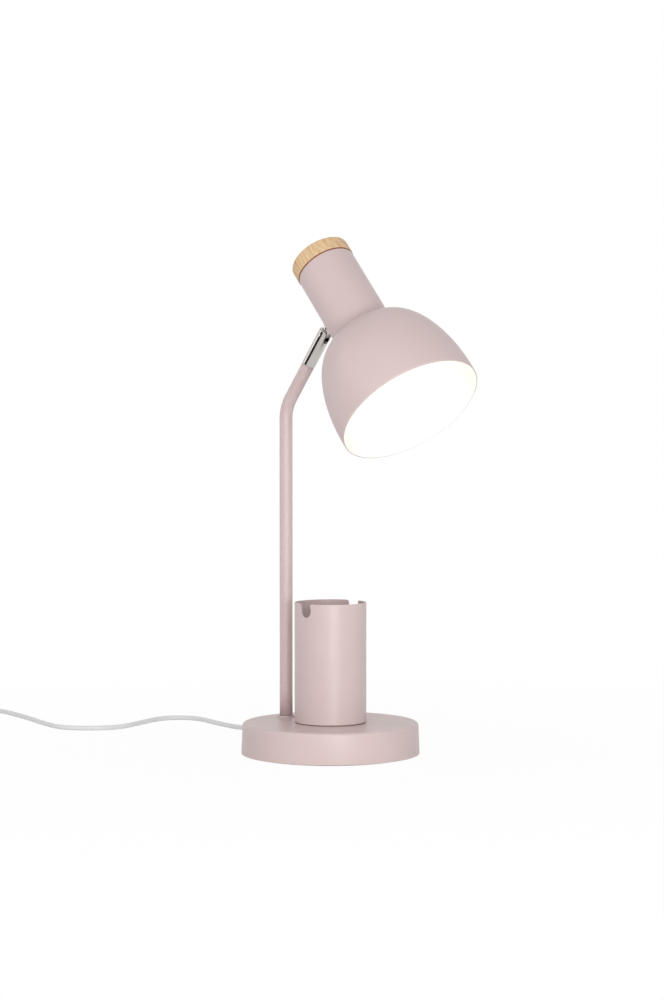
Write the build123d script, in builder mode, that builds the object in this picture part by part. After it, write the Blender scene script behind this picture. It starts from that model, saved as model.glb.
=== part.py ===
from build123d import *
import math
import os

# Desk lamp with a pen cup on its base and a tilting spun shade, in millimetres.
# The origin is the middle of the base's underside, +Z is up, and +X points from the post towards
# the cup, which is also the way the shade leans.

os.makedirs("parts", exist_ok=True)

# Base
base_radius = 75.0
base_draft = 0.9
base_height = 26.9
base_edge_round = 2.6
base_lower_round = 0.6
cover_wall = 1.2
ground_gap = 0.8
pad_thick = 1.6
pad_recess = 4.5
plate_thick = 1.2
plate_play = 0.4
ballast_thick = 11.0
ballast_play = 2.6
ballast_chamfer = 1.0
boss_inset = 21.0
boss_radius = 5.0
boss_count = 3
plate_screw_radius = 1.7
plate_head_radius = 3.2
plate_head_height = 1.2
plate_screw_bite = 8.0
pad_hole_play = 1.0
screw_end_room = 1.0

# Post
post_offset = 52.2
post_radius = 5.5
post_wall = 1.0
post_corner_height = 291.3
post_lean = 36.4
post_bend_radius = 30.0
pivot_run = 75.4
collar_radius = 7.7
collar_height = 1.2
collar_round = 0.5
foot_thread_radius = 4.0
foot_bore_radius = 2.8
foot_plug_length = 14.0
post_nut_flats = 13.0
post_nut_height = 5.0
post_washer_radius = 8.0
post_washer_thick = 1.2

# Pen cup
cup_radius = 30.2
cup_rim_height = 128.1
cup_wall = 1.2
cup_floor = 1.6
cup_foot_round = 0.8
seal_thick = 0.5
seal_inset = 0.9
notch_width = 11.0
notch_depth = 11.4
notch_lean = 10.0
notch_mouth_round = 1.5
cup_screw_ring = 15.0
cup_screw_count = 3
cup_screw_radius = 2.0
cup_head_radius = 3.6
cup_head_height = 2.2
cup_screw_bite = 7.0
cup_head_round = 0.7
notch_land = 2.0

# Swivel
socket_radius = 5.85
socket_below = 29.6
socket_above = 4.6
socket_spigot = 12.0
socket_bore_radius = 2.4
socket_round = 0.9
slot_width = 5.2
slot_back = 3.4
slot_floor = 4.7
pin_radius = 1.25
pin_inset = 0.1
pin_chamfer = 0.2
pin_grip = 0.02
tongue_thick = 4.6
eye_radius = 3.0
flange_radius = 6.0
flange_thick = 1.6
stud_radius = 4.0
stud_bore_radius = 2.5
saddle_radius = 6.4
saddle_thick = 1.4
saddle_sink = 0.6
stud_past_nut = 0.5
tongue_window_gap = 3.2
stud_nut_flats = 11.0
stud_nut_height = 2.8
head_twist = -2.95
head_nod = 12.74

# Shade, its neck and its cap, measured from the rim along the shade's own axis
axis_reach = 37.3
pivot_height = 114.3
rim_radius = 61.0
dome_height = 82.2
dome_skirt = 43.3
dome_bulge = 62.5
dome_shoulder = 47.9
neck_radius = 25.3
neck_top = 155.6
crease_round = 2.5
shade_wall = 1.0
skirt_share = 0.41
belly_share = 0.73
shoulder_share = 0.91
cap_radius = 25.8
cap_height = 13.2
cap_round = 1.6
cap_seam = 0.5
insert_radius = 7.0
insert_depth = 9.0
nipple_radius = 5.0
nipple_bore_radius = 3.6
nipple_up = 8.0
nipple_washer_radius = 9.0
nipple_washer_thick = 1.0
nipple_nut_flats = 14.0
nipple_nut_height = 3.0
holder_gap = 0.4

# Lampholder and bulb
holder_radius = 12.4
holder_cap_height = 18.0
holder_cap_top_radius = 10.5
holder_cap_grip = 8.0
holder_skirt_height = 28.0
holder_wall = 1.6
shell_radius = 7.1
shell_thick = 0.4
shell_height = 20.0
carrier_thick = 6.0
carrier_drop = 1.0
lead_hole_height = 7.0
contact_radius = 2.5
contact_thick = 1.0
bulb_cap_radius = 6.9
bulb_cap_height = 24.0
bulb_tip_height = 2.5
bulb_neck_radius = 8.0
bulb_waist_radius = 19.0
bulb_housing_height = 27.0
globe_radius = 22.5

# Leads inside the lamp
lead_radius = 1.8
core_radius = 0.9
lead_first_run = 10.0
lead_route = [(-4, -13, 7), (-19, -23, 6), (-38, -15, 5)]
lead_radii = [5.0, 5.0, 6.0, 12.0, 4.2]
lead_above_plate = 0.4
lead_bare_end = 1.0
head_lead_gap = 0.5
head_lead_radii = [4.2, 3.0]
core_spread = 1.15
core_past_block = 1.0
core_hole_play = 0.6
sheath_past_clamp = 1.5
sheath_past_block = 5.5
pole_spacing = 6.4
block_length = 18.0
block_width = 15.0
block_height = 9.5
block_slot = 1.6
block_bridge = 4.0
block_reach = 27.0
clamp_past_post = 3.8
clamp_length = 8.0
clamp_width = 19.0
clamp_drop = 10.0
clamp_screw_radius = 1.5
clamp_head_radius = 2.6
clamp_head_height = 1.4
clamp_screw_bite = 6.0
clamp_screw_wall = 2.2
clamp_round = 1.5

# Cord
cord_radius = 2.1
exit_angle = 162.0
exit_height = 8.0
relief_groove_radius = 3.6
relief_flange_radius = 5.2
relief_flange_thick = 2.0
relief_root_radius = 4.4
relief_tip_radius = 3.0
relief_tail = 26.0
relief_flange_taper = 0.3
first_run = 20.0
route = [
    (-161, 54),
    (-203, 63),
    (-246, 77),
    (-267, 56),
    (-257, 20),
    (-243, -23),
    (-277, -56),
    (-310, -49),
    (-364, -29),
    (-424, -12),
    (-446, -24),
]
switch_at = (-439, -69)
switch_heading = -58.0
switch_run = 24.0
link_runs = (14.0, 18.0, 14.0)
coil_radius = 32.4
coil_inward = 6
coil_outward = 7
coil_step = 4.75
coil_dip = 0.6
tail_runs = (18.0, 26.0, 18.0)
tail_turn = 30.0

# In-line switch
switch_length = 64.0
switch_width = 23.0
switch_axis_height = 6.0
switch_height = 15.0
switch_wall = 1.8
switch_corner = 9.0
switch_edge = 1.6
collar_out_radius = 4.4
collar_out_length = 5.0
rocker_length = 15.2
rocker_width = 9.6
rocker_tip = 4.6
rocker_dip = 3.5
rocker_keel = 5.0
rocker_depth = 3.0
rocker_throw = 8.0
rocker_axis_height = 12.0
rocker_gap = 0.9
rocker_side_gap = 0.4
trunnion_radius = 1.4
trunnion_length = 1.8
ear_thick = 2.0
ear_radius = 3.0
ear_rise = 1.5
switch_screw_radius = 1.1
switch_screw_head = 2.1
switch_post_radius = 3.0
switch_screw_reach = 20.0
switch_screw_sink = 1.8
switch_head_height = 1.4
switch_screw_bite = 5.0
switch_screw_room = 0.5
rocker_round = 0.5
contact_reach = 11.5
contact_length = 8.0
contact_width = 5.0
contact_sheet = 0.6
rivet_reach = 9.0
rivet_radius = 1.4
rivet_height = 0.8

# Plug
plug_length = 36.0
plug_width = 35.3
plug_thick = 13.7
plug_neck = 11.0
plug_round = 3.0
plug_flare = 1.5
plug_neck_share = 0.3
plug_head_share = 0.55
plug_pin_radius = 2.0
plug_pin_length = 19.0
plug_pin_spacing = 18.6
plug_pin_round = 1.2

# Clearances
running = 0.05
slip = 0.2
seat = 0.05


def polar(angle, length=1.0):
    """Point in the table's plane at an angle in degrees."""
    turn = math.radians(angle)
    return Vector(length * math.cos(turn), length * math.sin(turn), 0)


def corner_radii(points):
    """Arc radius at each corner of a cord's route, as large as its two runs allow."""
    radii = []
    for before, corner, after in zip(points, points[1:], points[2:]):
        inward = corner - before
        outward = after - corner
        half_turn = math.radians(inward.get_angle(outward) / 2)
        radii.append(0.45 * min(inward.length, outward.length) / math.tan(half_turn))
    return radii


def tell_tube(name, tube, path, tube_radius):
    """Print a tube's length, and how far its volume is from its section times its length."""
    length = path.wire().length
    drift = tube.part.volume / (math.pi * tube_radius**2 * length) - 1
    print(f"{name}: {length:.1f} long, volume off by {100 * drift:.2f} %")
    return length


# Places that several pieces share
cover_top_inside = base_height - cover_wall
ballast_bottom = cover_top_inside - ballast_thick
plate_bottom = pad_thick
plate_top = plate_bottom + plate_thick
slope = base_draft / (base_height - ground_gap)
boss_ring = base_radius - boss_inset
pad_radius = base_radius - pad_recess

post_foot = Vector(-post_offset, 0, base_height)
post_corner = Vector(-post_offset, 0, post_corner_height)
lean = math.radians(post_lean)
post_dir = Vector(math.sin(lean), 0, math.cos(lean))
pivot = post_corner + post_dir * pivot_run
tube_end = pivot - post_dir * socket_below

# The socket may be turned a little about the tube, and the head is square to its pin
pin_dir = Vector(0, 1, 0).rotate(Axis((0, 0, 0), post_dir), head_twist)
front_dir = pin_dir.cross(post_dir)
socket_plane = Plane(pivot, x_dir=front_dir, z_dir=post_dir)
nod = math.radians(head_nod)
reach_dir = post_dir * math.cos(nod) + front_dir * math.sin(nod)
head_up = reach_dir.cross(pin_dir)
rim_centre = pivot + reach_dir * axis_reach - head_up * pivot_height
head_axis = Axis(rim_centre, head_up)
# Section plane of the head: x is the distance from the shade's axis, y the height above the rim
head_section = Plane(rim_centre, x_dir=reach_dir, z_dir=pin_dir * -1)
head_plane = Plane(rim_centre, x_dir=reach_dir, z_dir=head_up)
# Plane square to the stud, whose z runs from the pin to the shade's axis
stud_plane = Plane(pivot, x_dir=head_up, z_dir=reach_dir)

exit_dir = polar(exit_angle)
clamp_reach = post_offset + clamp_past_post
exit_centre = Vector(0, 0, exit_height)
exit_plane = Plane(exit_centre, x_dir=(0, 0, 1), z_dir=exit_dir)
wall_outside = base_radius - slope * (exit_height - ground_gap)
wall_inside = wall_outside - cover_wall
relief_end = wall_outside + relief_flange_thick + relief_tail + slip


# Base cover: a pressed steel dish, open below

with BuildPart() as base_cover:
    with BuildSketch(Plane.XZ) as cover_outside:
        with BuildLine():
            Polyline(
                (0, ground_gap),
                (base_radius, ground_gap),
                (base_radius - base_draft, base_height),
                (0, base_height),
                close=True,
            )
        make_face()
        fillet(cover_outside.vertices().sort_by(Axis.X)[-1], base_lower_round)
        fillet(cover_outside.vertices().group_by(Axis.Y)[-1].sort_by(Axis.X)[-1], base_edge_round)
    revolve(axis=Axis.Z)
    with BuildSketch(Plane.XZ) as cover_inside:
        with BuildLine():
            Polyline(
                (0, ground_gap),
                (base_radius - cover_wall, ground_gap),
                (base_radius - base_draft - cover_wall, cover_top_inside),
                (0, cover_top_inside),
                close=True,
            )
        make_face()
        fillet(
            cover_inside.vertices().group_by(Axis.Y)[-1].sort_by(Axis.X)[-1],
            base_edge_round - cover_wall,
        )
    revolve(axis=Axis.Z, mode=Mode.SUBTRACT)
    with BuildSketch(Plane.XY.offset(base_height)):
        with Locations((-post_offset, 0)):
            Circle(foot_thread_radius + slip)
        with PolarLocations(cup_screw_ring, cup_screw_count, start_angle=60):
            Circle(cup_screw_radius + slip)
    extrude(amount=-cover_wall, mode=Mode.SUBTRACT)
    with BuildSketch(exit_plane):
        Circle(relief_groove_radius + slip)
    extrude(amount=base_radius + 1, mode=Mode.SUBTRACT)
base_cover.part.label = "base_cover"
export_step(base_cover.part, "parts/base_cover.step")

with BuildPart() as foot_pad:
    with BuildSketch():
        Circle(pad_radius)
        with PolarLocations(boss_ring, boss_count):
            Circle(plate_head_radius + pad_hole_play, mode=Mode.SUBTRACT)
    extrude(amount=pad_thick)
foot_pad.part.label = "foot_pad"
export_step(foot_pad.part, "parts/foot_pad.step")

with BuildPart() as bottom_plate:
    with BuildSketch(Plane.XY.offset(plate_bottom)):
        Circle(base_radius - slope * (plate_top - ground_gap) - cover_wall - plate_play)
        with PolarLocations(boss_ring, boss_count):
            Circle(plate_screw_radius + slip, mode=Mode.SUBTRACT)
    extrude(amount=plate_thick)
bottom_plate.part.label = "bottom_plate"
export_step(bottom_plate.part, "parts/bottom_plate.step")

with BuildPart() as plate_screws:
    with BuildSketch(Plane.XY.offset(plate_bottom - plate_head_height)):
        with PolarLocations(boss_ring, boss_count):
            Circle(plate_head_radius)
    extrude(amount=plate_head_height)
    with BuildSketch(Plane.XY.offset(plate_bottom)):
        with PolarLocations(boss_ring, boss_count):
            Circle(plate_screw_radius)
    extrude(amount=plate_thick + plate_screw_bite)
plate_screws.part.label = "plate_screws"
export_step(plate_screws.part, "parts/plate_screws.step")

# Ballast: a cast disc under the cover, with bosses that reach down to the bottom plate

clamp_screw_offset = cord_radius + running + clamp_screw_radius + clamp_screw_wall
clamp_middle = clamp_reach + clamp_length / 2

with BuildPart() as ballast:
    with BuildSketch(Plane.XY.offset(ballast_bottom)):
        Circle(base_radius - base_draft - cover_wall - ballast_play)
    extrude(amount=ballast_thick)
    chamfer(ballast.edges().group_by(Axis.Z)[-1], ballast_chamfer)
    with BuildSketch(Plane.XY.offset(plate_top)):
        with PolarLocations(boss_ring, boss_count):
            Circle(boss_radius)
    extrude(amount=ballast_bottom - plate_top)
    with BuildSketch(Plane.XY.offset(plate_top)):
        with PolarLocations(boss_ring, boss_count):
            Circle(plate_screw_radius + seat)
    extrude(amount=plate_screw_bite + screw_end_room, mode=Mode.SUBTRACT)
    with BuildSketch(Plane.XY.offset(ballast_bottom)):
        with Locations((-post_offset, 0)):
            Circle(foot_thread_radius + slip)
    extrude(amount=ballast_thick, mode=Mode.SUBTRACT)
    with BuildSketch(Plane.XY.offset(cover_top_inside)):
        with PolarLocations(cup_screw_ring, cup_screw_count, start_angle=60):
            Circle(cup_screw_radius + seat)
    extrude(amount=-cup_screw_bite - screw_end_room, mode=Mode.SUBTRACT)
    with BuildSketch(Plane(Vector(0, 0, ballast_bottom), x_dir=exit_dir, z_dir=(0, 0, 1))):
        with Locations(
            (clamp_middle, clamp_screw_offset),
            (clamp_middle, -clamp_screw_offset),
        ):
            Circle(clamp_screw_radius + seat)
    extrude(amount=clamp_screw_bite + screw_end_room, mode=Mode.SUBTRACT)
ballast.part.label = "ballast"
export_step(ballast.part, "parts/ballast.step")

# Post: a bent tube on a threaded foot insert, held by a nut under the ballast

with BuildPart() as post_tube:
    with BuildLine() as post_line:
        FilletPolyline(post_foot, post_corner, tube_end, radius=post_bend_radius)
    with BuildSketch(Plane.XY.offset(base_height)):
        with Locations((-post_offset, 0)):
            Circle(post_radius)
            Circle(post_radius - post_wall, mode=Mode.SUBTRACT)
    sweep(path=post_line.line)
post_tube.part.label = "post_tube"
export_step(post_tube.part, "parts/post_tube.step")

with BuildPart() as post_collar:
    with BuildSketch(Plane.XY.offset(base_height)):
        with Locations((-post_offset, 0)):
            Circle(collar_radius)
            Circle(post_radius + running, mode=Mode.SUBTRACT)
    extrude(amount=collar_height)
    fillet(
        post_collar.edges().group_by(Axis.Z)[-1].sort_by(SortBy.LENGTH)[-1], collar_round
    )
post_collar.part.label = "post_collar"
export_step(post_collar.part, "parts/post_collar.step")

nut_bottom = ballast_bottom - post_washer_thick - post_nut_height

with BuildPart() as foot_insert:
    with BuildSketch(Plane.XY.offset(base_height)):
        with Locations((-post_offset, 0)):
            Circle(post_radius - post_wall - seat)
    extrude(amount=foot_plug_length)
    with BuildSketch(Plane.XY.offset(nut_bottom)):
        with Locations((-post_offset, 0)):
            Circle(foot_thread_radius)
    extrude(amount=base_height - nut_bottom)
    with BuildSketch(Plane.XY.offset(nut_bottom)):
        with Locations((-post_offset, 0)):
            Circle(foot_bore_radius)
    extrude(amount=base_height + foot_plug_length - nut_bottom, mode=Mode.SUBTRACT)
foot_insert.part.label = "foot_insert"
export_step(foot_insert.part, "parts/foot_insert.step")

with BuildPart() as post_washer:
    with BuildSketch(Plane.XY.offset(ballast_bottom - post_washer_thick)):
        with Locations((-post_offset, 0)):
            Circle(post_washer_radius)
            Circle(foot_thread_radius + slip, mode=Mode.SUBTRACT)
    extrude(amount=post_washer_thick)
post_washer.part.label = "post_washer"
export_step(post_washer.part, "parts/post_washer.step")

with BuildPart() as post_nut:
    with BuildSketch(Plane.XY.offset(nut_bottom)):
        with Locations((-post_offset, 0)):
            RegularPolygon(post_nut_flats / 2, 6, major_radius=False)
            Circle(foot_thread_radius + seat, mode=Mode.SUBTRACT)
    extrude(amount=post_nut_height)
post_nut.part.label = "post_nut"
export_step(post_nut.part, "parts/post_nut.step")

# Pen cup, its seal and its screws

cup_bottom = base_height + seal_thick

with BuildPart() as cup_seal:
    with BuildSketch(Plane.XY.offset(base_height)):
        Circle(cup_radius - seal_inset)
        with PolarLocations(cup_screw_ring, cup_screw_count, start_angle=60):
            Circle(cup_screw_radius + slip, mode=Mode.SUBTRACT)
    extrude(amount=seal_thick)
cup_seal.part.label = "cup_seal"
export_step(cup_seal.part, "parts/cup_seal.step")

with BuildPart() as pen_cup:
    with BuildSketch(Plane.XY.offset(cup_bottom)):
        Circle(cup_radius)
    extrude(amount=cup_rim_height - cup_bottom)
    fillet(pen_cup.edges().group_by(Axis.Z)[0], cup_foot_round)
    with BuildSketch(Plane.XY.offset(cup_bottom + cup_floor)):
        Circle(cup_radius - cup_wall)
    extrude(amount=cup_rim_height - cup_bottom - cup_floor, mode=Mode.SUBTRACT)
    with BuildSketch(Plane.XY.offset(cup_bottom)):
        with PolarLocations(cup_screw_ring, cup_screw_count, start_angle=60):
            Circle(cup_screw_radius + slip)
    extrude(amount=cup_floor, mode=Mode.SUBTRACT)
    # One slot runs across both walls; its head leans to the post so that a phone rests back
    with BuildSketch(Plane.XZ) as notch:
        with Locations(Location((0, cup_rim_height - notch_depth + notch_width / 2), notch_lean)):
            Circle(notch_width / 2)
            with Locations((0, notch_depth)):
                Rectangle(notch_width, 2 * notch_depth)
        with Locations((0, cup_rim_height + notch_depth)):
            Rectangle(2 * (cup_radius - notch_land), 2 * notch_depth)
        mouth = notch.vertices().filter_by_position(
            Axis.Y, cup_rim_height - 0.01, cup_rim_height + 0.01
        )
        fillet(mouth.filter_by_position(Axis.X, -notch_depth, notch_depth), notch_mouth_round)
    extrude(amount=cup_radius + 1, both=True, mode=Mode.SUBTRACT)
pen_cup.part.label = "pen_cup"
export_step(pen_cup.part, "parts/pen_cup.step")

with BuildPart() as cup_screws:
    with BuildSketch(Plane.XY.offset(cup_bottom + cup_floor)):
        with PolarLocations(cup_screw_ring, cup_screw_count, start_angle=60):
            Circle(cup_head_radius)
    extrude(amount=cup_head_height)
    fillet(cup_screws.edges().group_by(Axis.Z)[-1], cup_head_round)
    with BuildSketch(Plane.XY.offset(cup_bottom + cup_floor)):
        with PolarLocations(cup_screw_ring, cup_screw_count, start_angle=60):
            Circle(cup_screw_radius)
    extrude(amount=-cup_floor - seal_thick - cover_wall - cup_screw_bite)
cup_screws.part.label = "cup_screws"
export_step(cup_screws.part, "parts/cup_screws.step")

# Swivel: a slotted chrome socket on the tube's end, with the head's tongue on a pin across it

with BuildPart() as swivel_socket:
    with BuildSketch(socket_plane.offset(-socket_below)):
        Circle(socket_radius)
    extrude(amount=socket_below + socket_above)
    fillet(swivel_socket.faces().sort_by(Axis(pivot, post_dir))[-1].edges(), socket_round)
    with BuildSketch(socket_plane.offset(-socket_below)):
        Circle(post_radius - post_wall - seat)
    extrude(amount=-socket_spigot)
    with BuildSketch(socket_plane.offset(-socket_below - socket_spigot)):
        Circle(socket_bore_radius)
    extrude(amount=socket_below + socket_spigot, mode=Mode.SUBTRACT)
    # The slot is open to the front and above, and its floor is round
    with BuildSketch(Plane(pivot, x_dir=pin_dir, z_dir=front_dir).offset(-slot_back)):
        with Locations((0, slot_width / 2 - slot_floor)):
            Circle(slot_width / 2)
        with Locations((0, (socket_above + slot_width / 2 - slot_floor) / 2)):
            Rectangle(slot_width, socket_above - slot_width / 2 + slot_floor)
    extrude(amount=slot_back + socket_radius, mode=Mode.SUBTRACT)
    with BuildSketch(Plane(pivot, x_dir=post_dir, z_dir=pin_dir)):
        Circle(pin_radius + pin_grip)
    extrude(amount=socket_radius, both=True, mode=Mode.SUBTRACT)
swivel_socket.part.label = "swivel_socket"
export_step(swivel_socket.part, "parts/swivel_socket.step")

with BuildPart() as swivel_pin:
    with BuildSketch(Plane(pivot, x_dir=post_dir, z_dir=pin_dir)):
        Circle(pin_radius)
    extrude(amount=socket_radius - pin_inset, both=True)
    chamfer(swivel_pin.edges(), pin_chamfer)
swivel_pin.part.label = "swivel_pin"
export_step(swivel_pin.part, "parts/swivel_pin.step")

wall_at = axis_reach - neck_radius
flange_face = wall_at - saddle_thick
neck_inside = neck_radius - shade_wall
inner_wall_at = axis_reach - neck_inside
inner_sag = neck_inside - math.sqrt(neck_inside**2 - saddle_radius**2)
nut_face = inner_wall_at + inner_sag + saddle_thick - saddle_sink
stud_end = nut_face + stud_nut_height + stud_past_nut
tongue_window = flange_face - flange_thick - tongue_window_gap

with BuildPart() as swivel_tongue:
    with BuildSketch(Plane(pivot, x_dir=reach_dir, z_dir=pin_dir)):
        Circle(eye_radius)
        with Locations(((flange_face - flange_thick) / 2, 0)):
            Rectangle(flange_face - flange_thick, 2 * eye_radius)
        Circle(pin_radius + running, mode=Mode.SUBTRACT)
    extrude(amount=tongue_thick / 2, both=True)
    with BuildSketch(stud_plane.offset(flange_face)):
        Circle(flange_radius)
    extrude(amount=-flange_thick)
    with BuildSketch(stud_plane.offset(flange_face)):
        Circle(stud_radius)
    extrude(amount=stud_end - flange_face)
    with BuildSketch(stud_plane.offset(stud_end)):
        Circle(stud_bore_radius)
    extrude(amount=tongue_window - stud_end, mode=Mode.SUBTRACT)
swivel_tongue.part.label = "swivel_tongue"
export_step(swivel_tongue.part, "parts/swivel_tongue.step")

with BuildPart() as outer_saddle:
    with BuildSketch(stud_plane.offset(flange_face)):
        Circle(saddle_radius)
        Circle(stud_radius + slip, mode=Mode.SUBTRACT)
    extrude(amount=saddle_radius)
    with BuildSketch(head_plane.offset(pivot_height - 2 * saddle_radius)):
        Circle(neck_radius + seat)
    extrude(amount=4 * saddle_radius, mode=Mode.SUBTRACT)
outer_saddle.part.label = "outer_saddle"
export_step(outer_saddle.part, "parts/outer_saddle.step")

with BuildPart() as inner_saddle:
    with BuildSketch(stud_plane.offset(inner_wall_at)):
        Circle(saddle_radius)
        Circle(stud_radius + slip, mode=Mode.SUBTRACT)
    extrude(amount=nut_face - inner_wall_at)
    with BuildSketch(head_plane.offset(pivot_height - 2 * saddle_radius)):
        Circle(neck_inside - seat)
    extrude(amount=4 * saddle_radius, mode=Mode.INTERSECT)
inner_saddle.part.label = "inner_saddle"
export_step(inner_saddle.part, "parts/inner_saddle.step")

with BuildPart() as stud_nut:
    with BuildSketch(stud_plane.offset(nut_face)):
        RegularPolygon(stud_nut_flats / 2, 6, major_radius=False)
        Circle(stud_radius + seat, mode=Mode.SUBTRACT)
    extrude(amount=stud_nut_height)
stud_nut.part.label = "stud_nut"
export_step(stud_nut.part, "parts/stud_nut.step")

# Shade: neck and dome spun in one piece, closed above but for the nipple's hole


def shade_profile(wall):
    """Outline from the axis at the rim, up the dome and the neck; wall is the distance inwards."""
    with BuildLine() as outline:
        Bezier(
            (rim_radius - wall, 0),
            (dome_bulge - wall, dome_skirt),
            (dome_shoulder - wall / 2, dome_height - wall),
            (neck_radius - wall, dome_height - wall),
        )
        Polyline(
            (neck_radius - wall, dome_height - wall),
            (neck_radius - wall, neck_top - wall),
            (0, neck_top - wall),
            (0, 0),
            (rim_radius - wall, 0),
        )
    return outline


with BuildPart() as shade:
    with BuildSketch(head_section) as shade_outside:
        add(shade_profile(0).line)
        make_face()
        crease = shade_outside.vertices().filter_by_position(
            Axis.Y, dome_height - 0.01, dome_height + 0.01
        )
        fillet(crease, crease_round)
    revolve(axis=head_axis)
    with BuildSketch(head_section) as shade_inside:
        add(shade_profile(shade_wall).line)
        make_face()
        inner_crease = shade_inside.vertices().filter_by_position(
            Axis.Y, dome_height - shade_wall - 0.01, dome_height - shade_wall + 0.01
        )
        fillet(inner_crease, crease_round + shade_wall)
    revolve(axis=head_axis, mode=Mode.SUBTRACT)
    with BuildSketch(head_plane.offset(neck_top)):
        Circle(nipple_radius + slip)
    extrude(amount=-shade_wall, mode=Mode.SUBTRACT)
    with BuildSketch(stud_plane.offset(wall_at - 2)):
        Circle(stud_radius + slip)
    extrude(amount=shade_wall + 4, mode=Mode.SUBTRACT)

# The spun shade is written as four rings of its dome and the neck above them, face to face
skirt_top = head_plane.offset(skirt_share * dome_height)
belly_top = head_plane.offset(belly_share * dome_height)
shoulder_top = head_plane.offset(shoulder_share * dome_height)
neck_foot = head_plane.offset(dome_height + crease_round)

with BuildPart() as shade_skirt:
    add(shade.part)
    split(bisect_by=skirt_top, keep=Keep.BOTTOM)
shade_skirt.part.label = "shade_skirt"
export_step(shade_skirt.part, "parts/shade_skirt.step")

with BuildPart() as shade_belly:
    add(shade.part)
    split(bisect_by=skirt_top, keep=Keep.TOP)
    split(bisect_by=belly_top, keep=Keep.BOTTOM)
shade_belly.part.label = "shade_belly"
export_step(shade_belly.part, "parts/shade_belly.step")

with BuildPart() as shade_shoulder:
    add(shade.part)
    split(bisect_by=belly_top, keep=Keep.TOP)
    split(bisect_by=shoulder_top, keep=Keep.BOTTOM)
shade_shoulder.part.label = "shade_shoulder"
export_step(shade_shoulder.part, "parts/shade_shoulder.step")

with BuildPart() as shade_crown:
    add(shade.part)
    split(bisect_by=shoulder_top, keep=Keep.TOP)
    split(bisect_by=neck_foot, keep=Keep.BOTTOM)
shade_crown.part.label = "shade_crown"
export_step(shade_crown.part, "parts/shade_crown.step")

with BuildPart() as shade_neck:
    add(shade.part)
    split(bisect_by=neck_foot, keep=Keep.TOP)
shade_neck.part.label = "shade_neck"
export_step(shade_neck.part, "parts/shade_neck.step")

with BuildPart() as wood_cap:
    with BuildSketch(head_plane.offset(neck_top)):
        Circle(cap_radius)
    extrude(amount=cap_height)
    cap_edges = wood_cap.edges().sort_by(head_axis)
    fillet(cap_edges[-1], cap_round)
    chamfer(wood_cap.faces().sort_by(head_axis)[0].edges(), cap_seam)
    with BuildSketch(head_plane.offset(neck_top)):
        Circle(insert_radius)
    extrude(amount=insert_depth, mode=Mode.SUBTRACT)
wood_cap.part.label = "wood_cap"
export_step(wood_cap.part, "parts/wood_cap.step")

with BuildPart() as cap_insert:
    with BuildSketch(head_plane.offset(neck_top + seat)):
        Circle(insert_radius - seat)
        Circle(nipple_radius + seat, mode=Mode.SUBTRACT)
    extrude(amount=insert_depth - seat)
cap_insert.part.label = "cap_insert"
export_step(cap_insert.part, "parts/cap_insert.step")

# Hollow nipple from the cap to the lampholder, with its washer and nut under the neck's top

top_inside = neck_top - shade_wall
holder_top = top_inside - nipple_washer_thick - nipple_nut_height - holder_gap

with BuildPart() as cap_nipple:
    with BuildSketch(head_plane.offset(neck_top + nipple_up)):
        Circle(nipple_radius)
        Circle(nipple_bore_radius, mode=Mode.SUBTRACT)
    extrude(amount=holder_top - holder_cap_grip - neck_top - nipple_up)
cap_nipple.part.label = "cap_nipple"
export_step(cap_nipple.part, "parts/cap_nipple.step")

with BuildPart() as nipple_washer:
    with BuildSketch(head_plane.offset(top_inside)):
        Circle(nipple_washer_radius)
        Circle(nipple_radius + slip, mode=Mode.SUBTRACT)
    extrude(amount=-nipple_washer_thick)
nipple_washer.part.label = "nipple_washer"
export_step(nipple_washer.part, "parts/nipple_washer.step")

with BuildPart() as nipple_nut:
    with BuildSketch(head_plane.offset(top_inside - nipple_washer_thick)):
        RegularPolygon(nipple_nut_flats / 2, 6, major_radius=False)
        Circle(nipple_radius + seat, mode=Mode.SUBTRACT)
    extrude(amount=-nipple_nut_height)
nipple_nut.part.label = "nipple_nut"
export_step(nipple_nut.part, "parts/nipple_nut.step")

# Lampholder: cap, skirt, carrier with the threaded shell, and the centre contact

holder_split = holder_top - holder_cap_height
carrier_top = holder_split - carrier_drop
shell_top = carrier_top - carrier_thick
lead_height = holder_split + lead_hole_height

with BuildPart() as holder_cap:
    with BuildSketch(head_section):
        with BuildLine():
            Polyline(
                (nipple_radius + seat, holder_top),
                (holder_cap_top_radius, holder_top),
                (holder_radius, holder_split + holder_cap_grip),
                (holder_radius, holder_split),
                (holder_radius - holder_wall, holder_split),
                (holder_radius - holder_wall, holder_top - holder_cap_grip),
                (nipple_radius + seat, holder_top - holder_cap_grip),
                close=True,
            )
        make_face()
    revolve(axis=head_axis)
    with BuildSketch(stud_plane.offset(axis_reach - holder_radius - 1)):
        with Locations((lead_height - pivot_height, 0)):
            Circle(lead_radius + slip)
    extrude(amount=holder_wall + 2, mode=Mode.SUBTRACT)
holder_cap.part.label = "holder_cap"
export_step(holder_cap.part, "parts/holder_cap.step")

with BuildPart() as holder_skirt:
    with BuildSketch(head_plane.offset(holder_split)):
        Circle(holder_radius)
        Circle(holder_radius - holder_wall, mode=Mode.SUBTRACT)
    extrude(amount=-holder_skirt_height)
holder_skirt.part.label = "holder_skirt"
export_step(holder_skirt.part, "parts/holder_skirt.step")

with BuildPart() as holder_carrier:
    with BuildSketch(head_plane.offset(carrier_top)):
        Circle(holder_radius - holder_wall - seat)
    extrude(amount=-carrier_thick)
holder_carrier.part.label = "holder_carrier"
export_step(holder_carrier.part, "parts/holder_carrier.step")

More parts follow.
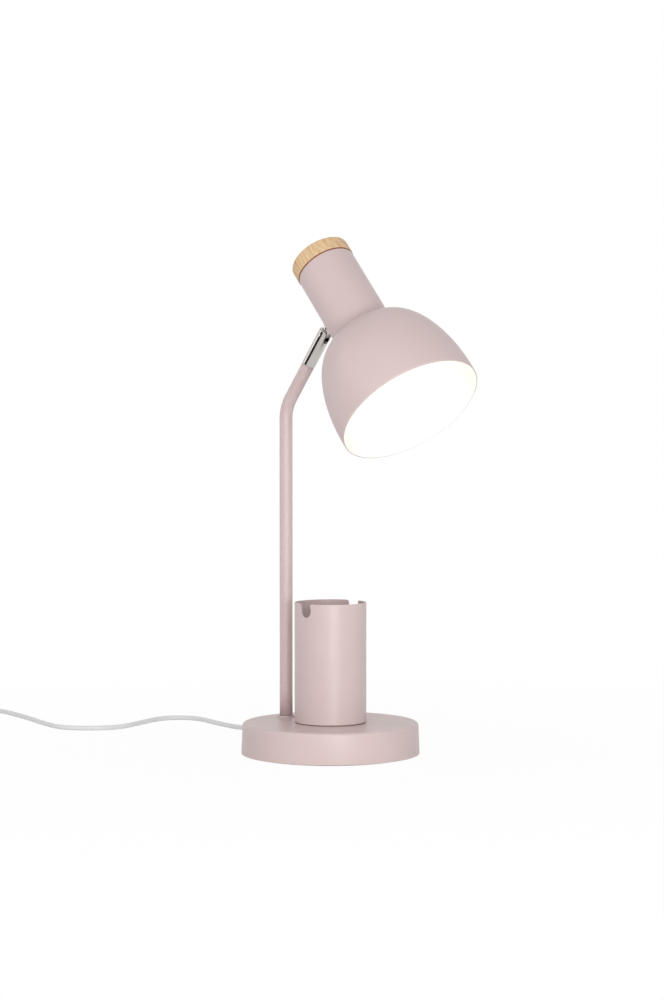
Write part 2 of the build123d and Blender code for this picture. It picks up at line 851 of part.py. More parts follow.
with BuildPart() as screw_shell:
    with BuildSketch(head_plane.offset(shell_top)):
        Circle(shell_radius + shell_thick)
        Circle(shell_radius, mode=Mode.SUBTRACT)
    extrude(amount=-shell_height)
screw_shell.part.label = "screw_shell"
export_step(screw_shell.part, "parts/screw_shell.step")

with BuildPart() as centre_contact:
    with BuildSketch(head_plane.offset(shell_top)):
        Circle(contact_radius)
    extrude(amount=-contact_thick)
centre_contact.part.label = "centre_contact"
export_step(centre_contact.part, "parts/centre_contact.step")

# Bulb: screw cap, housing and globe

cap_tip = shell_top - contact_thick - seat
housing_top = cap_tip - bulb_cap_height
housing_bottom = housing_top - bulb_housing_height

with BuildPart() as bulb_cap:
    with BuildSketch(head_section):
        with BuildLine():
            Polyline(
                (0, cap_tip),
                (contact_radius, cap_tip),
                (bulb_cap_radius, cap_tip - bulb_tip_height),
                (bulb_cap_radius, housing_top),
                (0, housing_top),
                close=True,
            )
        make_face()
    revolve(axis=head_axis)
bulb_cap.part.label = "bulb_cap"
export_step(bulb_cap.part, "parts/bulb_cap.step")

with BuildPart() as bulb_housing:
    with BuildSketch(head_section):
        with BuildLine():
            Line((0, housing_top), (bulb_neck_radius, housing_top))
            Spline(
                (bulb_neck_radius, housing_top),
                (bulb_waist_radius, housing_bottom),
                tangents=((0, -1), (0.5, -1)),
            )
            Polyline((bulb_waist_radius, housing_bottom), (0, housing_bottom), (0, housing_top))
        make_face()
    revolve(axis=head_axis)
bulb_housing.part.label = "bulb_housing"
export_step(bulb_housing.part, "parts/bulb_housing.step")

globe_drop = math.sqrt(globe_radius**2 - bulb_waist_radius**2)

with BuildPart() as bulb_globe:
    with BuildSketch(head_section):
        with BuildLine():
            Line((0, housing_bottom), (bulb_waist_radius, housing_bottom))
            ThreePointArc(
                (bulb_waist_radius, housing_bottom),
                (globe_radius, housing_bottom - globe_drop),
                (0, housing_bottom - globe_drop - globe_radius),
            )
            Line((0, housing_bottom - globe_drop - globe_radius), (0, housing_bottom))
        make_face()
    revolve(axis=head_axis)
bulb_globe.part.label = "bulb_globe"
export_step(bulb_globe.part, "parts/bulb_globe.step")

# Lead in the head: from the stud's bore up beside the holder and into its cap


def head_point(from_axis, height):
    """Point in the head's middle plane, on the pivot's side of the shade's axis."""
    return rim_centre - reach_dir * from_axis + head_up * height


lead_column = holder_radius + lead_radius + head_lead_gap
head_lead_points = [
    head_point(axis_reach - tongue_window, pivot_height),
    head_point(lead_column, pivot_height),
    head_point(lead_column, lead_height),
    head_point(holder_radius - holder_wall - lead_bare_end, lead_height),
]

with BuildPart() as head_lead:
    with BuildLine() as head_lead_path:
        FilletPolyline(*head_lead_points, radius=head_lead_radii)
    with BuildSketch(Plane(head_lead_path.line @ 0, z_dir=head_lead_path.line % 0)):
        Circle(lead_radius)
    sweep(path=head_lead_path.line)
head_lead.part.label = "head_lead"
export_step(head_lead.part, "parts/head_lead.step")

# Electrics in the base: clamp, terminal block, cores, and the lead that climbs the post

with BuildPart() as cord_clamp:
    with BuildSketch(Plane(Vector(0, 0, ballast_bottom), x_dir=exit_dir, z_dir=(0, 0, 1))) as foot:
        with Locations((clamp_middle, 0)):
            Rectangle(clamp_length, clamp_width)
            fillet(foot.vertices(), clamp_round)
    extrude(amount=-clamp_drop)
    with BuildSketch(exit_plane.offset(clamp_reach)):
        Circle(cord_radius + seat)
    extrude(amount=clamp_length, mode=Mode.SUBTRACT)
    with BuildSketch(Plane(Vector(0, 0, ballast_bottom), x_dir=exit_dir, z_dir=(0, 0, 1))):
        with Locations(
            (clamp_middle, clamp_screw_offset),
            (clamp_middle, -clamp_screw_offset),
        ):
            Circle(clamp_screw_radius + slip)
    extrude(amount=-clamp_drop, mode=Mode.SUBTRACT)
cord_clamp.part.label = "cord_clamp"
export_step(cord_clamp.part, "parts/cord_clamp.step")

clamp_face = ballast_bottom - clamp_drop

with BuildPart() as clamp_screws:
    with BuildSketch(Plane(Vector(0, 0, clamp_face), x_dir=exit_dir, z_dir=(0, 0, 1))):
        with Locations(
            (clamp_middle, clamp_screw_offset),
            (clamp_middle, -clamp_screw_offset),
        ):
            Circle(clamp_head_radius)
    extrude(amount=-clamp_head_height)
    with BuildSketch(Plane(Vector(0, 0, clamp_face), x_dir=exit_dir, z_dir=(0, 0, 1))):
        with Locations(
            (clamp_middle, clamp_screw_offset),
            (clamp_middle, -clamp_screw_offset),
        ):
            Circle(clamp_screw_radius)
    extrude(amount=clamp_drop + clamp_screw_bite)
clamp_screws.part.label = "clamp_screws"
export_step(clamp_screws.part, "parts/clamp_screws.step")

block_middle = block_reach + block_length / 2

with BuildPart() as terminal_block:
    with BuildSketch(Plane(Vector(0, 0, ballast_bottom), x_dir=exit_dir, z_dir=(0, 0, 1))):
        with Locations((block_middle, 0)):
            Rectangle(block_length, block_width)
            Rectangle(block_length, block_slot, mode=Mode.SUBTRACT)
        with Locations((block_middle, 0)):
            Rectangle(block_bridge, block_width)
    extrude(amount=-block_height)
    with BuildSketch(exit_plane.offset(block_reach)):
        with Locations((0, pole_spacing / 2), (0, -pole_spacing / 2)):
            Circle(core_radius + core_hole_play)
    extrude(amount=block_length, mode=Mode.SUBTRACT)
terminal_block.part.label = "terminal_block"
export_step(terminal_block.part, "parts/terminal_block.step")

sheath_end = clamp_reach - sheath_past_clamp
lead_start = block_reach - sheath_past_block


def beside_cord(reach, offset):
    """Point at the cord's height, a reach along its line in the base and an offset to one side."""
    return exit_centre + exit_dir * reach + exit_dir.rotate(Axis.Z, 90) * offset


bare_offset = core_radius * core_spread

with BuildPart() as terminal_cores:
    for side in (1, -1):
        pole = side * pole_spacing / 2
        for start, end in (
            (
                beside_cord(sheath_end, side * bare_offset),
                beside_cord(block_reach + block_length - core_past_block, pole),
            ),
            (
                beside_cord(lead_start, side * bare_offset),
                beside_cord(block_reach + core_past_block, pole),
            ),
        ):
            with BuildSketch(Plane(start, z_dir=end - start)):
                Circle(core_radius)
            extrude(amount=(end - start).length)
terminal_cores.part.label = "terminal_cores"
export_step(terminal_cores.part, "parts/terminal_cores.step")

lead_low = plate_top + lead_radius + lead_above_plate
post_lead_points = [
    exit_centre + exit_dir * lead_start,
    exit_centre + exit_dir * (lead_start - lead_first_run),
    *[Vector(place) for place in lead_route],
    Vector(-post_offset, 0, lead_low),
    post_corner,
    pivot - post_dir * (slot_floor + lead_bare_end),
]

with BuildPart() as post_lead:
    with BuildLine() as post_lead_path:
        FilletPolyline(*post_lead_points, radius=[*lead_radii, post_bend_radius])
    with BuildSketch(Plane(post_lead_path.line @ 0, z_dir=post_lead_path.line % 0)):
        Circle(lead_radius)
    sweep(path=post_lead_path.line)
post_lead.part.label = "post_lead"
export_step(post_lead.part, "parts/post_lead.step")

# Cord exit: a moulded strain relief that grips the cover's wall

with BuildPart() as strain_relief:
    with BuildSketch(Plane(exit_centre, x_dir=exit_dir, z_dir=exit_dir.cross(Vector(0, 0, 1)))):
        with BuildLine():
            Polyline(
                (wall_inside - relief_flange_thick - slip, cord_radius + seat),
                (wall_inside - relief_flange_thick - slip, relief_flange_radius),
                (wall_inside - 2 * slip, relief_flange_radius),
                (wall_inside - 2 * slip, relief_groove_radius),
                (wall_outside + slip, relief_groove_radius),
                (wall_outside + slip, relief_flange_radius),
                (wall_outside + slip + relief_flange_thick, relief_flange_radius - relief_flange_taper),
                (wall_outside + slip + relief_flange_thick, relief_root_radius),
                (relief_end, relief_tip_radius),
                (relief_end, cord_radius + seat),
                close=True,
            )
        make_face()
    revolve(axis=Axis(exit_centre, exit_dir))
strain_relief.part.label = "strain_relief"
export_step(strain_relief.part, "parts/strain_relief.step")

with BuildPart() as cord_inner:
    with BuildSketch(exit_plane.offset(sheath_end)):
        Circle(cord_radius)
    extrude(amount=relief_end - sheath_end)
cord_inner.part.label = "cord_inner"
export_step(cord_inner.part, "parts/cord_inner.step")

# Free stretch of the cord, from the strain relief to the switch

switch_dir = polar(switch_heading)
switch_in = Vector(switch_at[0], switch_at[1], switch_axis_height)
cord_points = [
    exit_centre + exit_dir * relief_end,
    exit_centre + exit_dir * (relief_end + first_run),
]
cord_points += [Vector(x, y, cord_radius) for x, y in route]
cord_points += [switch_in - switch_dir * switch_run, switch_in]
cord_lead_radii = corner_radii(cord_points)

with BuildPart() as cord_lead:
    with BuildLine() as cord_lead_path:
        FilletPolyline(*cord_points, radius=cord_lead_radii)
    with BuildSketch(Plane(cord_lead_path.line @ 0, z_dir=cord_lead_path.line % 0)):
        Circle(cord_radius)
    sweep(path=cord_lead_path.line)
cord_lead.part.label = "cord_lead"
export_step(cord_lead.part, "parts/cord_lead.step")

# In-line switch: two shells, with a rocker that tips on trunnions in the upper one

switch_middle = switch_in + switch_dir * (switch_length / 2)
switch_out = switch_in + switch_dir * switch_length
switch_ground = Plane(
    Vector(switch_middle.X, switch_middle.Y, 0), x_dir=switch_dir, z_dir=(0, 0, 1)
)
body_length = switch_length - 2 * collar_out_length
cavity_length = body_length - 2 * switch_wall
cavity_width = switch_width - 2 * switch_wall
switch_section = Plane(switch_middle, x_dir=(0, 0, 1), z_dir=switch_dir)


with BuildPart() as switch_bottom:
    with BuildSketch(switch_ground):
        RectangleRounded(body_length, switch_width, switch_corner)
    extrude(amount=switch_axis_height)
    fillet(switch_bottom.edges().group_by(Axis.Z)[0], switch_edge)
    with BuildSketch(switch_section.offset(-switch_length / 2)):
        Circle(collar_out_radius)
    extrude(amount=switch_length)
    with BuildSketch(switch_ground.offset(switch_axis_height)):
        Rectangle(switch_length + 2, switch_width)
    extrude(amount=switch_height, mode=Mode.SUBTRACT)
    with BuildSketch(switch_ground.offset(switch_wall)):
        RectangleRounded(cavity_length, cavity_width, switch_corner - switch_wall)
        with Locations((switch_screw_reach, 0), (-switch_screw_reach, 0)):
            Circle(switch_post_radius, mode=Mode.SUBTRACT)
    extrude(amount=switch_axis_height, mode=Mode.SUBTRACT)
    with BuildSketch(switch_ground):
        with Locations((switch_screw_reach, 0), (-switch_screw_reach, 0)):
            Circle(switch_screw_radius + slip)
    extrude(amount=switch_axis_height, mode=Mode.SUBTRACT)
    with BuildSketch(switch_ground):
        with Locations((switch_screw_reach, 0), (-switch_screw_reach, 0)):
            Circle(switch_screw_head + slip)
    extrude(amount=switch_screw_sink, mode=Mode.SUBTRACT)
switch_bottom.part.label = "switch_bottom"
export_step(switch_bottom.part, "parts/switch_bottom.step")

opening_length = rocker_length + 2 * rocker_gap
opening_width = rocker_width + 2 * rocker_side_gap
ear_offset = rocker_width / 2 + rocker_side_gap
rocker_plane = Plane(
    Vector(switch_middle.X, switch_middle.Y, rocker_axis_height),
    x_dir=switch_dir,
    z_dir=Vector(0, 0, 1).cross(switch_dir) * -1,
)

with BuildPart() as switch_top:
    with BuildSketch(switch_ground.offset(switch_axis_height)):
        RectangleRounded(body_length, switch_width, switch_corner)
    extrude(amount=switch_height - switch_axis_height)
    fillet(switch_top.edges().group_by(Axis.Z)[-1], switch_edge)
    with BuildSketch(switch_section.offset(-switch_length / 2)):
        Circle(collar_out_radius)
    extrude(amount=switch_length)
    with BuildSketch(switch_ground.offset(switch_axis_height)):
        Rectangle(switch_length + 2, switch_width)
    extrude(amount=-switch_height, mode=Mode.SUBTRACT)
    with BuildSketch(switch_ground.offset(switch_axis_height)):
        RectangleRounded(cavity_length, cavity_width, switch_corner - switch_wall)
        with Locations((switch_screw_reach, 0), (-switch_screw_reach, 0)):
            Circle(switch_post_radius, mode=Mode.SUBTRACT)
    extrude(amount=switch_height - switch_axis_height - switch_wall, mode=Mode.SUBTRACT)
    # Ears that hang from the top wall and hold the rocker's trunnions
    with BuildSketch(rocker_plane.offset(ear_offset)):
        with Locations((0, 0), (0, ear_rise)):
            Circle(ear_radius)
    extrude(amount=ear_thick)
    with BuildSketch(rocker_plane.offset(-ear_offset)):
        with Locations((0, 0), (0, ear_rise)):
            Circle(ear_radius)
    extrude(amount=-ear_thick)
    with BuildSketch(switch_ground.offset(switch_height)):
        Rectangle(opening_length, opening_width)
    extrude(amount=switch_axis_height - switch_height, mode=Mode.SUBTRACT)
    with BuildSketch(switch_ground.offset(switch_height)):
        Rectangle(switch_length, switch_width)
    extrude(amount=switch_height, mode=Mode.SUBTRACT)
    with BuildSketch(rocker_plane):
        Circle(trunnion_radius + running)
    extrude(amount=ear_offset + ear_thick, both=True, mode=Mode.SUBTRACT)
    with BuildSketch(switch_ground.offset(switch_axis_height)):
        with Locations((switch_screw_reach, 0), (-switch_screw_reach, 0)):
            Circle(switch_screw_radius + seat)
    extrude(amount=switch_screw_bite + switch_screw_room, mode=Mode.SUBTRACT)
switch_top.part.label = "switch_top"
export_step(switch_top.part, "parts/switch_top.step")

with BuildPart() as switch_screws:
    with BuildSketch(switch_ground.offset(switch_screw_sink - switch_head_height)):
        with Locations((switch_screw_reach, 0), (-switch_screw_reach, 0)):
            Circle(switch_screw_head)
    extrude(amount=switch_head_height)
    with BuildSketch(switch_ground.offset(switch_screw_sink)):
        with Locations((switch_screw_reach, 0), (-switch_screw_reach, 0)):
            Circle(switch_screw_radius)
    extrude(amount=switch_axis_height + switch_screw_bite - switch_screw_sink)
switch_screws.part.label = "switch_screws"
export_step(switch_screws.part, "parts/switch_screws.step")

# The rocker rests tipped to its on side
throw = math.radians(rocker_throw)
tipped_dir = switch_dir * math.cos(throw) + Vector(0, 0, 1) * math.sin(throw)
tipped_plane = Plane(rocker_plane.origin, x_dir=tipped_dir, z_dir=rocker_plane.z_dir)

with BuildPart() as switch_rocker:
    with BuildSketch(tipped_plane):
        with BuildLine():
            Polyline(
                (-rocker_length / 2, rocker_tip),
                (0, rocker_dip),
                (rocker_length / 2, rocker_tip),
                (rocker_keel, -rocker_depth),
                (-rocker_keel, -rocker_depth),
                close=True,
            )
        make_face()
    extrude(amount=rocker_width / 2, both=True)
    fillet(
        switch_rocker.edges().filter_by(GeomType.LINE).group_by(Axis.Z)[-1], rocker_round
    )
    with BuildSketch(tipped_plane):
        Circle(trunnion_radius)
    extrude(amount=ear_offset + trunnion_length, both=True)
switch_rocker.part.label = "switch_rocker"
export_step(switch_rocker.part, "parts/switch_rocker.step")

with BuildPart() as switch_contacts:
    with BuildSketch(switch_ground.offset(switch_wall)):
        with Locations((contact_reach, 0), (-contact_reach, 0)):
            Rectangle(contact_length, contact_width)
    extrude(amount=contact_sheet)
    with BuildSketch(switch_ground.offset(switch_wall + contact_sheet)):
        with Locations((rivet_reach, 0), (-rivet_reach, 0)):
            Circle(rivet_radius)
    extrude(amount=rivet_height)
switch_contacts.part.label = "switch_contacts"
export_step(switch_contacts.part, "parts/switch_contacts.step")

# Short stretch from the switch down to the coil

link_points = [switch_out]
for run, height in zip(link_runs, (switch_axis_height, cord_radius, cord_radius)):
    step = switch_dir * run
    last = link_points[-1]
    link_points.append(Vector(last.X + step.X, last.Y + step.Y, height))
cord_link_radii = corner_radii(link_points)

with BuildPart() as cord_link:
    with BuildLine() as cord_link_path:
        FilletPolyline(*link_points, radius=cord_link_radii)
    with BuildSketch(Plane(cord_link_path.line @ 0, z_dir=cord_link_path.line % 0)):
        Circle(cord_radius)
    sweep(path=cord_link_path.line)
cord_link.part.label = "cord_link"
export_step(cord_link.part, "parts/cord_link.step")

# Coil of the put-away length: a flat spiral in, a climb of one layer, and a spiral out again

coil_start = link_points[-1]
coil_centre = coil_start + switch_dir.rotate(Axis.Z, 90) * coil_radius
coil_angle = switch_heading - 90


def coil_place(half_turns):
    """Point and direction on the coil after a whole number of half turns."""
    if half_turns <= coil_inward:
        steps_in = half_turns
        layer = 0
    else:
        steps_in = 2 * coil_inward + 1 - half_turns
        layer = 1
    radius = coil_radius - coil_step / 2 * steps_in
    if steps_in == coil_inward:
        radius -= coil_dip
    outward = polar(coil_angle + 180 * half_turns)
    along = polar(coil_angle + 180 * half_turns + 90)
    return coil_centre + outward * radius + Vector(0, 0, coil_step * layer), along


with BuildPart() as cord_coil:
    with BuildLine() as coil_line:
        for index in range(coil_inward + 1 + coil_outward):
            start, start_along = coil_place(index)
            end, end_along = coil_place(index + 1)
            # A biarc over the half turn: two quarter arcs that share a tangent where they meet
            chord = end - start
            twice_sum = 2 * chord.dot(start_along + end_along)
            square = 2 * (1 - start_along.dot(end_along))
            length = (
                -twice_sum + math.sqrt(twice_sum**2 + 4 * square * chord.dot(chord))
            ) / (2 * square)
            first_knee = start + start_along * length
            second_knee = end - end_along * length
            middle = (first_knee + second_knee) * 0.5
            TangentArc(start, middle, tangent=start_along)
            TangentArc(middle, end, tangent=second_knee - first_knee)
    with BuildSketch(Plane(coil_start, z_dir=switch_dir)):
        Circle(cord_radius)
    sweep(path=coil_line.line)
cord_coil.part.label = "cord_coil"
export_step(cord_coil.part, "parts/cord_coil.step")

coil_samples = [coil_line.line @ (index / 1200) for index in range(1201)]
coil_length = coil_line.wire().length
least_gap = min(
    (first - second).length
    for place, first in enumerate(coil_samples)
    for second in coil_samples[place + 40 :]
) - 2 * cord_radius

# Tail from the coil's upper layer to the plug

tail_points = [coil_line.line @ 1]
plug_dir = coil_line.line % 1
for run in tail_runs:
    tail_points.append(tail_points[-1] + plug_dir * run)
    plug_dir = plug_dir.rotate(Axis.Z, tail_turn)
plug_dir = plug_dir.rotate(Axis.Z, -tail_turn)
cord_tail_radii = corner_radii(tail_points)

with BuildPart() as cord_tail:
    with BuildLine() as cord_tail_path:
        FilletPolyline(*tail_points, radius=cord_tail_radii)
    with BuildSketch(Plane(cord_tail_path.line @ 0, z_dir=cord_tail_path.line % 0)):
        Circle(cord_radius)
    sweep(path=cord_tail_path.line)
cord_tail.part.label = "cord_tail"
export_step(cord_tail.part, "parts/cord_tail.step")

# Flat two-pin plug, lying on its side beside the coil

plug_entry = tail_points[-1]
plug_plane = Plane(
    Vector(plug_entry.X, plug_entry.Y, plug_entry.Z - plug_thick / 2),
    x_dir=plug_dir,
    z_dir=(0, 0, 1),
)

with BuildPart() as plug_body:
    with BuildSketch(plug_plane):
        with BuildLine():
            Polyline(
                (0, -plug_neck / 2),
                (plug_length * plug_neck_share, -plug_neck / 2 - plug_flare),
                (plug_length * plug_head_share, -plug_width / 2),
                (plug_length, -plug_width / 2),
                (plug_length, plug_width / 2),
                (plug_length * plug_head_share, plug_width / 2),
                (plug_length * plug_neck_share, plug_neck / 2 + plug_flare),
                (0, plug_neck / 2),
                close=True,
            )
        make_face()
    extrude(amount=plug_thick)
    fillet(plug_body.edges().filter_by(Axis.Z), plug_round)
    fillet(plug_body.edges().group_by(Axis.Z)[-1], plug_round / 2)
    fillet(plug_body.edges().group_by(Axis.Z)[0], plug_round / 2)
plug_body.part.label = "plug_body"
export_step(plug_body.part, "parts/plug_body.step")

with BuildPart() as plug_pins:
    with BuildSketch(Plane(plug_entry + plug_dir * plug_length, x_dir=(0, 0, 1), z_dir=plug_dir)):
        with Locations((0, plug_pin_spacing / 2), (0, -plug_pin_spacing / 2)):
            Circle(plug_pin_radius)
    extrude(amount=plug_pin_length)
    fillet(plug_pins.faces().sort_by(Axis(plug_entry, plug_dir))[-2:].edges(), plug_pin_round)
plug_pins.part.label = "plug_pins"
export_step(plug_pins.part, "parts/plug_pins.step")

for name, radii in (
    ("cord lead", cord_lead_radii),
    ("cord link", cord_link_radii),
    ("cord tail", cord_tail_radii),
):
    print(f"{name} radii:", [round(radius, 1) for radius in radii])
cord_total = switch_length + coil_length
cord_total += tell_tube("cord lead", cord_lead, cord_lead_path, cord_radius)
cord_total += tell_tube("cord link", cord_link, cord_link_path, cord_radius)
cord_total += tell_tube("cord tail", cord_tail, cord_tail_path, cord_radius)
tell_tube("post lead", post_lead, post_lead_path, lead_radius)
tell_tube("head lead", head_lead, head_lead_path, lead_radius)
print(f"coil: {coil_length:.0f} long, least gap to itself {least_gap:.2f}")
print(f"cord from the base to the plug: {cord_total:.0f}")
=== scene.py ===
import bpy
import math
import numpy as np
from mathutils import Matrix, Vector


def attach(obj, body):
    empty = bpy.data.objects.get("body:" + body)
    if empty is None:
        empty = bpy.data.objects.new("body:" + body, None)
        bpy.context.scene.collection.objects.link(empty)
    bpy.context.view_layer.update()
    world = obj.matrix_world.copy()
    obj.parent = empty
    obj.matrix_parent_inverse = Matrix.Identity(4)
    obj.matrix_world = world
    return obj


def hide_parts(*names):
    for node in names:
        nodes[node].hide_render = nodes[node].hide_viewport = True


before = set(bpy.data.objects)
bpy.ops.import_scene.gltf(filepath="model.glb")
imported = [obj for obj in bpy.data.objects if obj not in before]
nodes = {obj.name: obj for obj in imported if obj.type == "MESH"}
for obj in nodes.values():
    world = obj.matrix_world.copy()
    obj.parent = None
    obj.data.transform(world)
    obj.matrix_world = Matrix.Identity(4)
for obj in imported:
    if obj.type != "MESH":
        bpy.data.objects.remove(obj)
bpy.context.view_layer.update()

# Desk lamp with a pen cup on its base. Metres, +Z up, +X from the post towards the cup.
# Shapes are worked out in millimetres and scaled by mm when they become meshes.

mm = 0.001
print("frame loaded:", len(nodes), "nodes")


# Camera, at the photograph's place

view = {
    "azimuth": 43.5,      # degrees round the lamp
    "distance": 2172.94,  # mm from the base's axis
    "height": 306.26,     # mm
    "pitch": 2.432,       # degrees down
    "yaw": 0.034,         # degrees to the right of the axis
    "focal": 2592.93,     # focal length in pixels of a picture 1000 high
    "sensor": 24.0,       # sensor height, mm
}


def makeCamera(values):
    data = bpy.data.cameras.new("photoCamera")
    data.sensor_fit = "VERTICAL"
    data.sensor_height = values["sensor"]
    data.lens = values["sensor"] * values["focal"] / 1000
    data.clip_end = 50
    camera = bpy.data.objects.new("photoCamera", data)
    around = math.radians(values["azimuth"])
    camera.location = (
        values["distance"] * mm * math.sin(around),
        -values["distance"] * mm * math.cos(around),
        values["height"] * mm,
    )
    camera.rotation_euler = (
        math.radians(90 - values["pitch"]), 0, around - math.radians(values["yaw"]),
    )
    bpy.context.scene.collection.objects.link(camera)
    bpy.context.scene.camera = camera


makeCamera(view)
bpy.context.scene.view_settings.view_transform = "Standard"
print("camera set")


# Node material builder: each method adds a node and gives back its output

class Finish:
    def __init__(self, name, values=None):
        self.material = bpy.data.materials.new(name)
        self.material.use_nodes = True
        self.tree = self.material.node_tree
        self.shader = self.tree.nodes["Principled BSDF"]
        self.end = self.tree.nodes["Material Output"]
        self.fill(self.shader, values)
        self.coordinate = self.tree.nodes.new("ShaderNodeTexCoord")
        self.place = self.coordinate.outputs["Object"]

    def fill(self, node, values):
        for socket, value in (values or {}).items():
            node.inputs[socket].default_value = value

    def add(self, kind, links=None, values=None, **settings):
        node = self.tree.nodes.new(kind)
        for key, value in settings.items():
            setattr(node, key, value)
        self.fill(node, values)
        for socket, source in (links or {}).items():
            self.tree.links.new(source, node.inputs[socket])
        return node

    def noise(self, scale, detail=3.0, rough=0.55, place=None):
        values = {"Scale": scale, "Detail": detail, "Roughness": rough}
        return self.add(
            "ShaderNodeTexNoise", {"Vector": place or self.place}, values
        ).outputs["Fac"]

    def mapped(self, rotation=(0, 0, 0), scale=(1, 1, 1), location=(0, 0, 0), place=None):
        values = {"Rotation": rotation, "Scale": scale, "Location": location}
        return self.add(
            "ShaderNodeMapping", {"Vector": place or self.place}, values
        ).outputs["Vector"]

    def ramp(self, source, stops):
        node = self.add("ShaderNodeValToRGB", {"Fac": source})
        elements = node.color_ramp.elements
        while len(elements) < len(stops):
            elements.new(0.5)
        for element, (at, colour) in zip(elements, stops):
            element.position = at
            element.color = (*colour, 1)
        return node.outputs["Color"]

    def spread(self, source, low, high):  # a noise's middle range becomes low..high
        values = {"From Min": 0.3, "From Max": 0.7, "To Min": low, "To Max": high}
        return self.add("ShaderNodeMapRange", {"Value": source}, values).outputs["Result"]

    def combine(self, operation, first, second, third=None):
        node = self.add("ShaderNodeMath", operation=operation)
        for index, source in enumerate((first, second, third)):
            if isinstance(source, (int, float)):
                node.inputs[index].default_value = source
            elif source is not None:
                self.tree.links.new(source, node.inputs[index])
        return node.outputs["Value"]

    def bump(self, source, strength, depth):
        values = {"Strength": strength, "Distance": depth}
        return self.add("ShaderNodeBump", {"Height": source}, values).outputs["Normal"]

    def join(self, socket, source):
        self.tree.links.new(source, self.shader.inputs[socket])


def tinted(colour, factor):
    return tuple(min(1.0, channel * factor) for channel in colour)


def turnedPlace(finish, turn, stretch):
    # object coordinates in a piece's own axes, with its z drawn out
    return finish.mapped(scale=(1, 1, stretch), place=finish.mapped(rotation=turn))


# Shared places in mm, as the frame has them

lamp = {
    "postOffset": 52.2,
    "postRadius": 5.5,
    "postWall": 1.0,
    "cornerHeight": 291.3,
    "lean": 36.4,          # degrees
    "bendRadius": 30.0,
    "pivotRun": 75.4,
    "socketBelow": 29.6,
    "headTwist": -2.95,    # degrees
    "headNod": 12.74,      # degrees
    "axisReach": 37.3,
    "pivotHeight": 114.3,
    "baseHeight": 26.9,
}


def frameMatrix(origin, xDir, zDir):
    # 4 x 4 matrix of a frame from its origin, x direction and z direction
    z = np.asarray(zDir, float) / np.linalg.norm(zDir)
    x = np.asarray(xDir, float) - z * np.dot(xDir, z)
    x = x / np.linalg.norm(x)
    place = np.eye(4)
    place[:3] = np.stack([x, np.cross(z, x), z, np.asarray(origin, float)], -1)
    return place


def turnInto(place):
    # Euler angles that bring world coordinates into the frame's own axes
    return tuple(Matrix(place[:3, :3].tolist()).inverted().to_euler())


lean = math.radians(lamp["lean"])
nod = math.radians(lamp["headNod"])
postDir = Vector((math.sin(lean), 0, math.cos(lean)))
pivot = Vector((-lamp["postOffset"], 0, lamp["cornerHeight"])) + postDir * lamp["pivotRun"]
pinDir = Matrix.Rotation(math.radians(lamp["headTwist"]), 3, postDir) @ Vector((0, 1, 0))
frontDir = pinDir.cross(postDir)
reachDir = postDir * math.cos(nod) + frontDir * math.sin(nod)
headUp = reachDir.cross(pinDir)
rimCentre = pivot + reachDir * lamp["axisReach"] - headUp * lamp["pivotHeight"]
headPlace = frameMatrix(rimCentre, reachDir, headUp)
socketPlace = frameMatrix(pivot, frontDir, postDir)
basePlace = np.eye(4)


# Paint

paint = {
    "colour": (0.580, 0.461, 0.450),  # dusty pink, linear
    "drift": 0.02,                    # how far the colour wanders
    "clouds": 18.0,                   # noise scales per metre: colour, gloss and orange peel
    "gloss": 60.0,
    "peel": 1500.0,
    "roughness": (0.36, 0.39),
    "peelStrength": 0.35,
    "peelDepth": 0.000005,            # m
}


def paintMaterial(name, values):
    finish = Finish(name, {"IOR": 1.5})
    finish.join("Base Color", finish.ramp(finish.noise(values["clouds"], 2.0), [
        (0.35, tinted(values["colour"], 1 - values["drift"])),
        (0.65, tinted(values["colour"], 1 + values["drift"])),
    ]))
    finish.join("Roughness", finish.spread(finish.noise(values["gloss"]), *values["roughness"]))
    peel = finish.noise(values["peel"], 2.0)
    finish.join("Normal", finish.bump(peel, values["peelStrength"], values["peelDepth"]))
    return finish.material


# Metals, with fine lines drawn along the piece

metalSurface = {
    "clouds": 90.0,        # noise scale of the tone, per metre
    "tones": (0.96, 1.03),
    "lineDraw": 0.08,      # how far the lines are drawn out, smaller is longer
    "lineStrength": 0.05,
    "lineDepth": 0.000004,  # m
}
metals = {  # lines is their noise scale, per metre
    "chrome": {"colour": (0.53, 0.50, 0.475), "roughness": (0.10, 0.16), "lines": 2600.0},
    "zincSteel": {"colour": (0.55, 0.55, 0.54), "roughness": (0.28, 0.42), "lines": 900.0},
    "brass": {"colour": (0.66, 0.45, 0.19), "roughness": (0.25, 0.38), "lines": 900.0},
    "copper": {"colour": (0.72, 0.36, 0.20), "roughness": (0.30, 0.40), "lines": 700.0},
}


def metalMaterial(name, values, turn=(0, 0, 0)):
    finish = Finish(name, {"Metallic": 1.0})
    low, high = metalSurface["tones"]
    finish.join("Base Color", finish.ramp(finish.noise(metalSurface["clouds"]), [
        (0.3, tinted(values["colour"], low)), (0.7, tinted(values["colour"], high)),
    ]))
    drawn = turnedPlace(finish, turn, metalSurface["lineDraw"])
    lines = finish.noise(values["lines"], 1.0, place=drawn)
    finish.join("Roughness", finish.spread(lines, *values["roughness"]))
    finish.join("Normal", finish.bump(
        lines, metalSurface["lineStrength"], metalSurface["lineDepth"]
    ))
    return finish.material


# Plastics and foam

